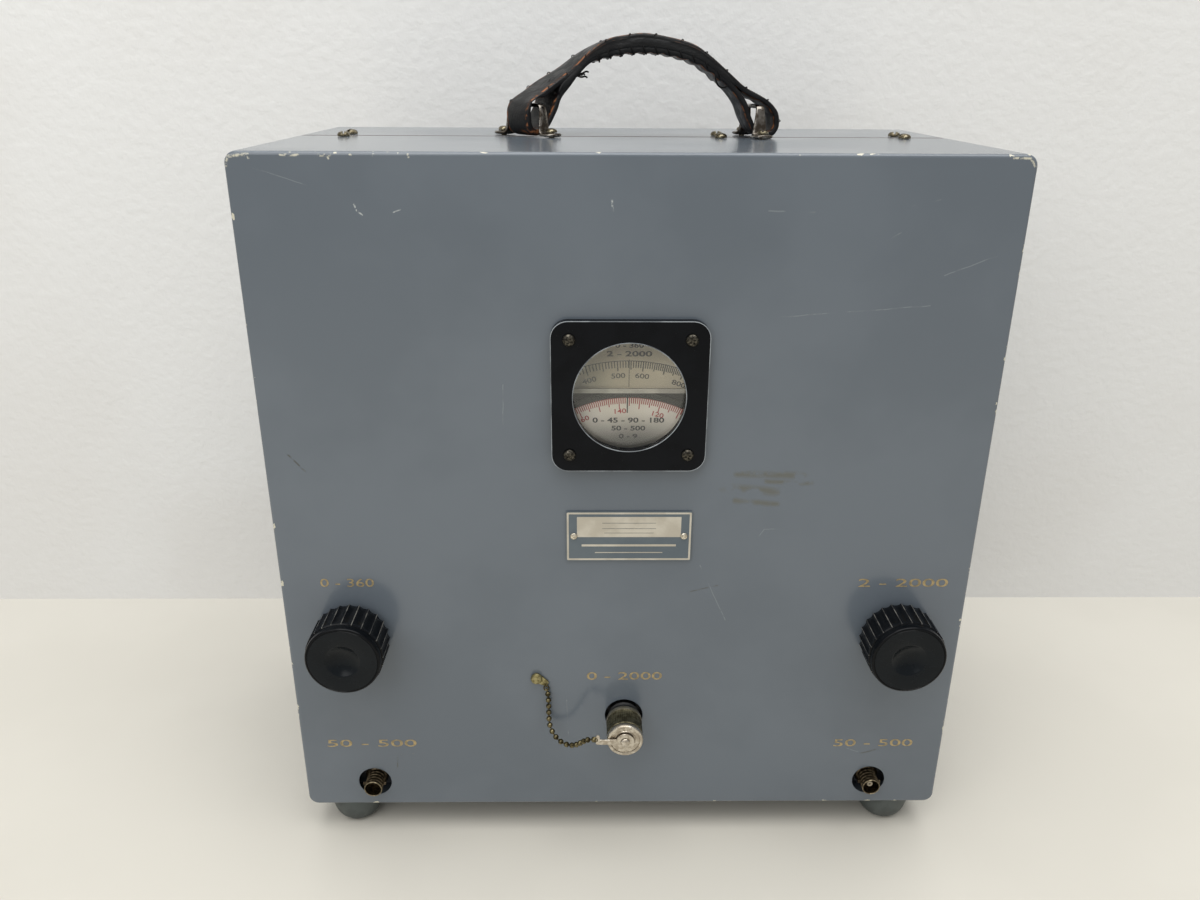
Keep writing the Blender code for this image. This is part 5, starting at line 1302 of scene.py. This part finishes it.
def feet():
    profile = [(0, -FOOT_HEIGHT)]
    for turn in (math.pi / 2 * k / 12 for k in range(13)):
        radius = FOOT_TIP + FOOT_SWELL * math.sin(turn) ** FOOT_SQUARENESS
        profile.append((radius, -0.9 - (FOOT_HEIGHT - 0.9) * math.cos(turn) ** FOOT_SQUARENESS))
    profile += [(14.5, -0.7), (14.1, -0.3), (0, -0.3)]
    mesh = turned("rubber_foot", profile, 48)
    upward = Matrix.Rotation(-math.pi / 2, 4, "X")
    for end in ("front_left", "front_right", "rear_left", "rear_right"):
        name = "foot_" + end
        low, high = extent(name)
        seat = ((low.x + high.x) / 2, 0, (low.z + high.z) / 2)
        fit("rubber_" + name, mesh, foot_rubber, seat, stands_for=(name,), turn=upward)


feet()

# Handle brackets. Pressed steel staples, nickel plated, their legs rounded like pegs; a
# screw through each foot holds them to the deck.
BRACKETS = (("left", 48), ("right", 9))
STAPLE_THICKNESS = 1.96
STAPLE_POINTS = 20
STAPLE_SQUARENESS = (0.6, 0.75)

# Half a staple, from a foot's tip to the middle of its bar: (along, up, width).
HALF_STAPLE = (
    (22.0, 1.0, 3.4), (21.4, 1.0, 6.6), (20.0, 1.0, 9.4), (17.6, 1.0, 10.7), (14.6, 1.0, 10.7),
    (13.2, 1.1, 9.6), (12.3, 2.0, 7.8), (12.0, 3.6, 7.0), (11.8, 7.0, 6.1), (11.6, 10.5, 5.2),
    (11.4, 13.0, 4.6), (10.8, 14.4, 4.4), (9.6, 15.0, 4.3), (5.0, 15.0, 4.3), (0.0, 15.0, 4.3),
)

# Worn nickel is grey-brown where the steel shows through, and it mirrors the deck and the strap.
bracket_plate = finish(
    "worn_nickel_plate", ("827d76", "4c453d"), 4, (0.16, 0.36), (0.5, 0.02), Metallic=1.0
)


def pillow(turn, wide, tall, squareness):
    """A point of a soft-cornered rectangle: a squareness of 1 is round, less is squarer."""
    parts = zip((math.cos(turn), math.sin(turn)), (wide, tall), squareness)
    return [math.copysign(abs(part) ** power, part) * size / 2 for part, size, power in parts]


def bracket(side, degrees):
    """Sweeps a pillowy section from one foot's tip up, across and down to the other."""
    node_name = "handle_bracket_" + side
    low, high = extent(node_name)
    centre = ((low.x + high.x) / 2, low.y, (low.z + high.z) / 2)
    stations = [*HALF_STAPLE, *((-x, y, width) for x, y, width in HALF_STAPLE[-2::-1])]
    bm = bmesh.new()
    rings = []
    for i, (x, y, width) in enumerate(stations):
        before = stations[max(i - 1, 0)]
        after = stations[min(i + 1, len(stations) - 1)]
        along = Vector((after[0] - before[0], after[1] - before[1])).normalized()
        ring = []
        for turn in full_turn(STAPLE_POINTS):
            across, out = pillow(turn, width, STAPLE_THICKNESS, STAPLE_SQUARENESS)
            ring.append((x - along.y * out, y + along.x * out, across))
        rings.append(set_out(bm, ring))
    loft(bm, rings, capped=True)
    name = "staple_" + side
    turn = Matrix.Rotation(math.radians(90 + degrees), 4, "Y")
    mesh = finished(name, bm, 50)
    piece = fit(name, mesh, bracket_plate, centre, stands_for=(node_name,), turn=turn)
    smooth = piece.modifiers.new("rounding", "SUBSURF")
    smooth.levels = 1
    smooth.render_levels = 1


for side, degrees in BRACKETS:
    bracket(side, degrees)

# Strap handle. One leather strip doubled over a padded core and whip-stitched beneath; its
# two ends loop round the bracket bars. Black, rubbed through to brown along its edges.
HANDLE_SPAN = 144.0
HANDLE_MIDDLE = 8.5
HANDLE_RISE = 49.6
HANDLE_FOOT = extent("handle")[0].y
SEAM_Z = extent("front_shell")[0].z
STRAP_WIDTH = 24.0
STRAP_END_WIDTH = 19.0
STRAP_THICKNESS = 3.3
TURNED_WITHIN = 8.0
STRAIGHT_BEYOND = 50.0
LOOPS = ((-50.5, math.radians(39), 1), (66.3, math.radians(9), -1))
OUTER_SHARES = (
    (-0.456, 0.223), (-0.447, 0.302), (-0.428, 0.358), (-0.355, 0.483), (-0.263, 0.646),
    (-0.196, 0.819), (-0.131, 0.928), (-0.063, 0.968), (0.017, 0.985), (0.150, 0.908),
    (0.216, 0.801), (0.289, 0.630), (0.345, 0.500), (0.396, 0.426), (0.440, 0.355),
    (0.472, 0.262), (0.481, 0.177), (0.480, 0.089), (0.460, 0.012), (0.425, 0.006),
    (0.388, 0.050), (0.358, 0.180), (0.332, 0.335), (0.280, 0.495), (0.190, 0.690),
    (0.085, 0.785), (-0.020, 0.805), (-0.108, 0.774), (-0.183, 0.714), (-0.231, 0.599),
    (-0.266, 0.476), (-0.301, 0.361), (-0.319, 0.244), (-0.355, 0.089), (-0.389, 0.012),
    (-0.424, 0.012), (-0.450, 0.081),
)
EYE_SHARES = (
    (
        (0.372, 0.375), (0.405, 0.352), (0.438, 0.285), (0.457, 0.180), (0.447, 0.095),
        (0.420, 0.078), (0.392, 0.115), (0.374, 0.220), (0.364, 0.310),
    ),
    (
        (-0.377, 0.292), (-0.379, 0.161), (-0.390, 0.093), (-0.415, 0.081), (-0.433, 0.141),
        (-0.436, 0.242), (-0.432, 0.330), (-0.407, 0.371), (-0.384, 0.357),
    ),
)
STRAP_PACE = 1.0
STRAP_SQUARENESS = (0.34, 0.34)
STRAP_DISH = 0.12
SECTION_POINTS = 36
CORE_FROM = -37.0
CORE_TO = 53.0
CORE_RINGS = 90
CORE_POINTS = 48
CORE_SQUARENESS = (0.4, 0.4)
CREASE_DEPTH = 0.035
STITCHED_FROM = -16.0
STITCHED_TO = 46.0
STITCH_PITCH = 6.0
SCALLOP = 0.8
WHIP_STITCH = ((0, 3.0, 12.0), (0.7, 1.2, 12.4), (1.3, -0.3, 11.4), (1.9, -0.6, 8.6), (2.3, 0.4, 6.5))
KNOT_EVERY = 13
EDGE_KNOT = ((0.0, 0.9, 12.0), (0.4, 0.2, 11.9), (0.9, -0.15, 11.2), (1.3, 0.2, 10.3))
FRAYS = (
    ((-26.0, 30.2, 10.5), (-24.2, 30.1, 12.0), (-22.4, 31.0, 13.2), (-21.2, 30.8, 13.6)),
    ((-26.2, 29.0, 10.5), (-24.6, 28.4, 12.2), (-23.0, 28.7, 13.4), (-22.0, 28.2, 13.9)),
    ((-25.8, 29.6, 10.0), (-24.4, 29.4, 12.0), (-23.6, 29.9, 13.0), (-23.2, 29.5, 13.4)),
    ((43.2, 29.6, 11.4), (43.6, 26.6, 11.9), (45.2, 24.4, 12.0), (47.6, 24.0, 11.9), (49.6, 25.4, 11.3)),
)
RIVET_PLACE = Vector((-36.6, 27.6))
RIVET_HALVES = (3.4, 2.6)


def worn_leather():
    """Waxed hide, black with a soft sheen, rubbed to dark brown and then tan along its edges."""
    made = finish(
        "worn_black_leather", ("08080a", "0e0f10"), 5, (0.36, 0.54), (1.0, 0.1),
        stretch=(0.5, 1, 1), Specular_IOR_Level=0.3,
    )
    tree = made.node_tree
    rubbed = add(tree, "Attribute", attribute_name="rubbed").outputs["Fac"]
    for size, low, high, tone in ((3, 0.44, 0.6, "3a2418"), (1.5, 0.49, 0.57, "965f3a")):
        broken = patches(tree, size, low, high, stretch=(0.45, 0.6, 1))
        mask = add(tree, "Math", {0: rubbed, 1: broken}, operation="MULTIPLY")
        lay_over(made, mask, tone, 0.7)
    return made


leather = worn_leather()

# Waxed linen thread is black and dull beside the leather.
waxed_thread = finish(
    "waxed_black_thread", ("080808", "0f0e0e"), 2, (0.7, 0.85), (0.4, 0.08), Specular_IOR_Level=0.2
)


def strap_point(along, up, out):
    """Places a point of the straight strap: its ends turn and narrow towards the brackets."""
    x, z = along, out
    for centre, turn, inward in LOOPS:
        share = (inward * (along - centre) - TURNED_WITHIN) / (STRAIGHT_BEYOND - TURNED_WITHIN)
        share = min(1.0, max(0.0, share))
        hold = 1 - share * share * (3 - 2 * share)
        if hold == 0:
            continue
        z = z * (1 + hold * (STRAP_END_WIDTH / STRAP_WIDTH - 1))
        lever = x - centre
        x = centre + lever * math.cos(hold * turn) + z * math.sin(hold * turn)
        z = z * math.cos(hold * turn) - lever * math.sin(hold * turn)
    return Vector((x, HANDLE_FOOT + up, SEAM_Z + z))


def strap_line(shares):
    return [Vector((HANDLE_MIDDLE + a * HANDLE_SPAN, b * HANDLE_RISE)) for a, b in shares]


def gap_to(point, line):
    """Distance from a point to a closed line."""
    nearest = 1e9
    for start, end in zip(line, line[1:] + line[:1]):
        run = end - start
        share = min(1.0, max(0.0, (point - start).dot(run) / run.length_squared))
        nearest = min(nearest, (point - start - run * share).length)
    return nearest


def levels(outline, x):
    """The heights at which the strap's outline passes one place along it, lowest first."""
    found = []
    for start, end in zip(outline, outline[1:] + outline[:1]):
        if (start.x - x) * (end.x - x) <= 0 and start.x != end.x:
            found.append(start.y + (end.y - start.y) * (x - start.x) / (end.x - start.x))
    return sorted(found)


def ways_at(outline, i):
    """The way along the outline at a point, and the way from there into the strap."""
    along = (outline[(i + 1) % len(outline)] - outline[i - 1]).normalized()
    return along, Vector((along.y, -along.x))


def strap_strip(outline, eyes):
    """The leather strip, all the way round its closed outline."""
    bm = bmesh.new()
    rubbed = bm.verts.layers.float.new("rubbed")
    rings = []
    for i, point in enumerate(outline):
        inward = ways_at(outline, i)[1]
        thickness = min(STRAP_THICKNESS, *(gap_to(point, eye) for eye in eyes))
        beneath = inward.y > 0.3 and STITCHED_FROM < point.x < STITCHED_TO
        swell = SCALLOP * abs(math.sin(math.pi * point.x / STITCH_PITCH)) if beneath else 0
        ring = []
        for turn in full_turn(SECTION_POINTS):
            across, rise = pillow(turn, STRAP_WIDTH, thickness, STRAP_SQUARENESS)
            deep = thickness / 2 - rise
            if rise > 0:
                deep += STRAP_DISH * (2 * across / STRAP_WIDTH) ** 4 - swell
            place = point + inward * deep
            vertex = bm.verts.new(strap_point(place.x, place.y, across) * MM)
            corner = max(0.0, (abs(math.sin(2 * turn)) - 0.85) / 0.15)
            low_loop = 0.6 if point.y < 3.0 and point.x < 0 and across > 3 else 0
            vertex[rubbed] = min(1.0, corner + low_loop)
            ring.append(vertex)
        rings.append(ring)
    loft(bm, rings, closed=True)
    return finished("leather_strap", bm, 60)


def padded_core(outline):
    """The padding between the two runs of the strip, with two creases along its sides."""
    bm = bmesh.new()
    rubbed = bm.verts.layers.float.new("rubbed")
    rings = []
    for k in range(CORE_RINGS + 1):
        x = CORE_FROM + (CORE_TO - CORE_FROM) * k / CORE_RINGS
        heights = levels(outline, x)
        top, bottom = heights[-1] - 0.5, heights[-2] + 1.1
        tall = top - bottom
        taper = min(1.0, 0.35 + min(k, CORE_RINGS - k) / 9)
        wander = 0.04 * math.sin(x / 7) + 0.02 * math.sin(x / 2.3)
        ring = []
        for turn in full_turn(CORE_POINTS):
            across, rise = pillow(turn, STRAP_WIDTH + 0.7, tall * taper, CORE_SQUARENESS)
            level = rise / tall
            for crease in (0.24 + wander, -0.1 - wander):
                across *= 1 - CREASE_DEPTH * math.exp(-(((level - crease) / 0.05) ** 2))
            vertex = bm.verts.new(strap_point(x, (top + bottom) / 2 + rise, across) * MM)
            vertex[rubbed] = max(0.0, 1 - abs(level - 0.4) / 0.08)
            ring.append(vertex)
        rings.append(ring)
    loft(bm, rings, capped=True)
    return finished("padded_core", bm, 60)


def stitches(outline):
    """Whip stitches under the grip, knots along the edges, frayed ends and one slack loop."""
    threads = []
    x = STITCHED_FROM
    while x < STITCHED_TO:
        low = levels(outline, x)[-2]
        for side in (-1, 1):
            threads.append(([(x + a, low + b, side * c) for a, b, c in WHIP_STITCH], 4, 0.42, 8))
        x += STITCH_PITCH
    for i in range(6, len(outline) // 2, KNOT_EVERY):
        along, inward = ways_at(outline, i)
        for side in (-1, 1):
            line = [(*(outline[i] + along * a + inward * b), side * c) for a, b, c in EDGE_KNOT]
            threads.append((line, 3, 0.24, 6))
    threads += [(line, 5, 0.45, 8) for line in FRAYS]
    bm = bmesh.new()
    for line, steps, radius, sides in threads:
        tube(bm, spread([strap_point(*place) for place in line], steps), radius, sides)
    return finished("strap_stitches", bm, 60)


def rivet_bump(outline):
    """The low oval that a rivet head raises under the outer face."""
    near = min(range(len(outline) // 2), key=lambda i: (outline[i] - RIVET_PLACE).length)
    along, inward = ways_at(outline, near)
    long, wide = RIVET_HALVES
    bm = bmesh.new()
    rings = []
    for share in (step / 7 for step in range(8)):
        raised = 0.9 * math.cos(share * math.pi / 2) ** 0.8 - (0.3 if 0.5 < share < 0.8 else 0.15)
        ring = []
        for turn in full_turn(32):
            place = outline[near] + along * long * share * math.cos(turn) - inward * raised
            ring.append(strap_point(place.x, place.y, 4 + wide * share * math.sin(turn)))
        rings.append(set_out(bm, ring))
    bm.faces.new(rings[0])
    loft(bm, rings)
    return finished("rivet_bump", bm, 80)


def handle():
    outline = spread(strap_line(OUTER_SHARES), 8, closed=True)
    outline = paced(outline + outline[:1], STRAP_PACE)[:-1]
    eyes = [strap_line(shares) for shares in EYE_SHARES]
    pieces = (
        ("leather_strap", strap_strip(outline, eyes), leather, ("handle",)),
        ("padded_core", padded_core(outline), leather, ()),
        ("strap_stitches", stitches(outline), waxed_thread, ()),
        ("rivet_bump", rivet_bump(outline), leather, ()),
    )
    for name, mesh, surface, nodes in pieces:
        fit(name, mesh, surface, body="handle_group", stands_for=nodes)


handle()
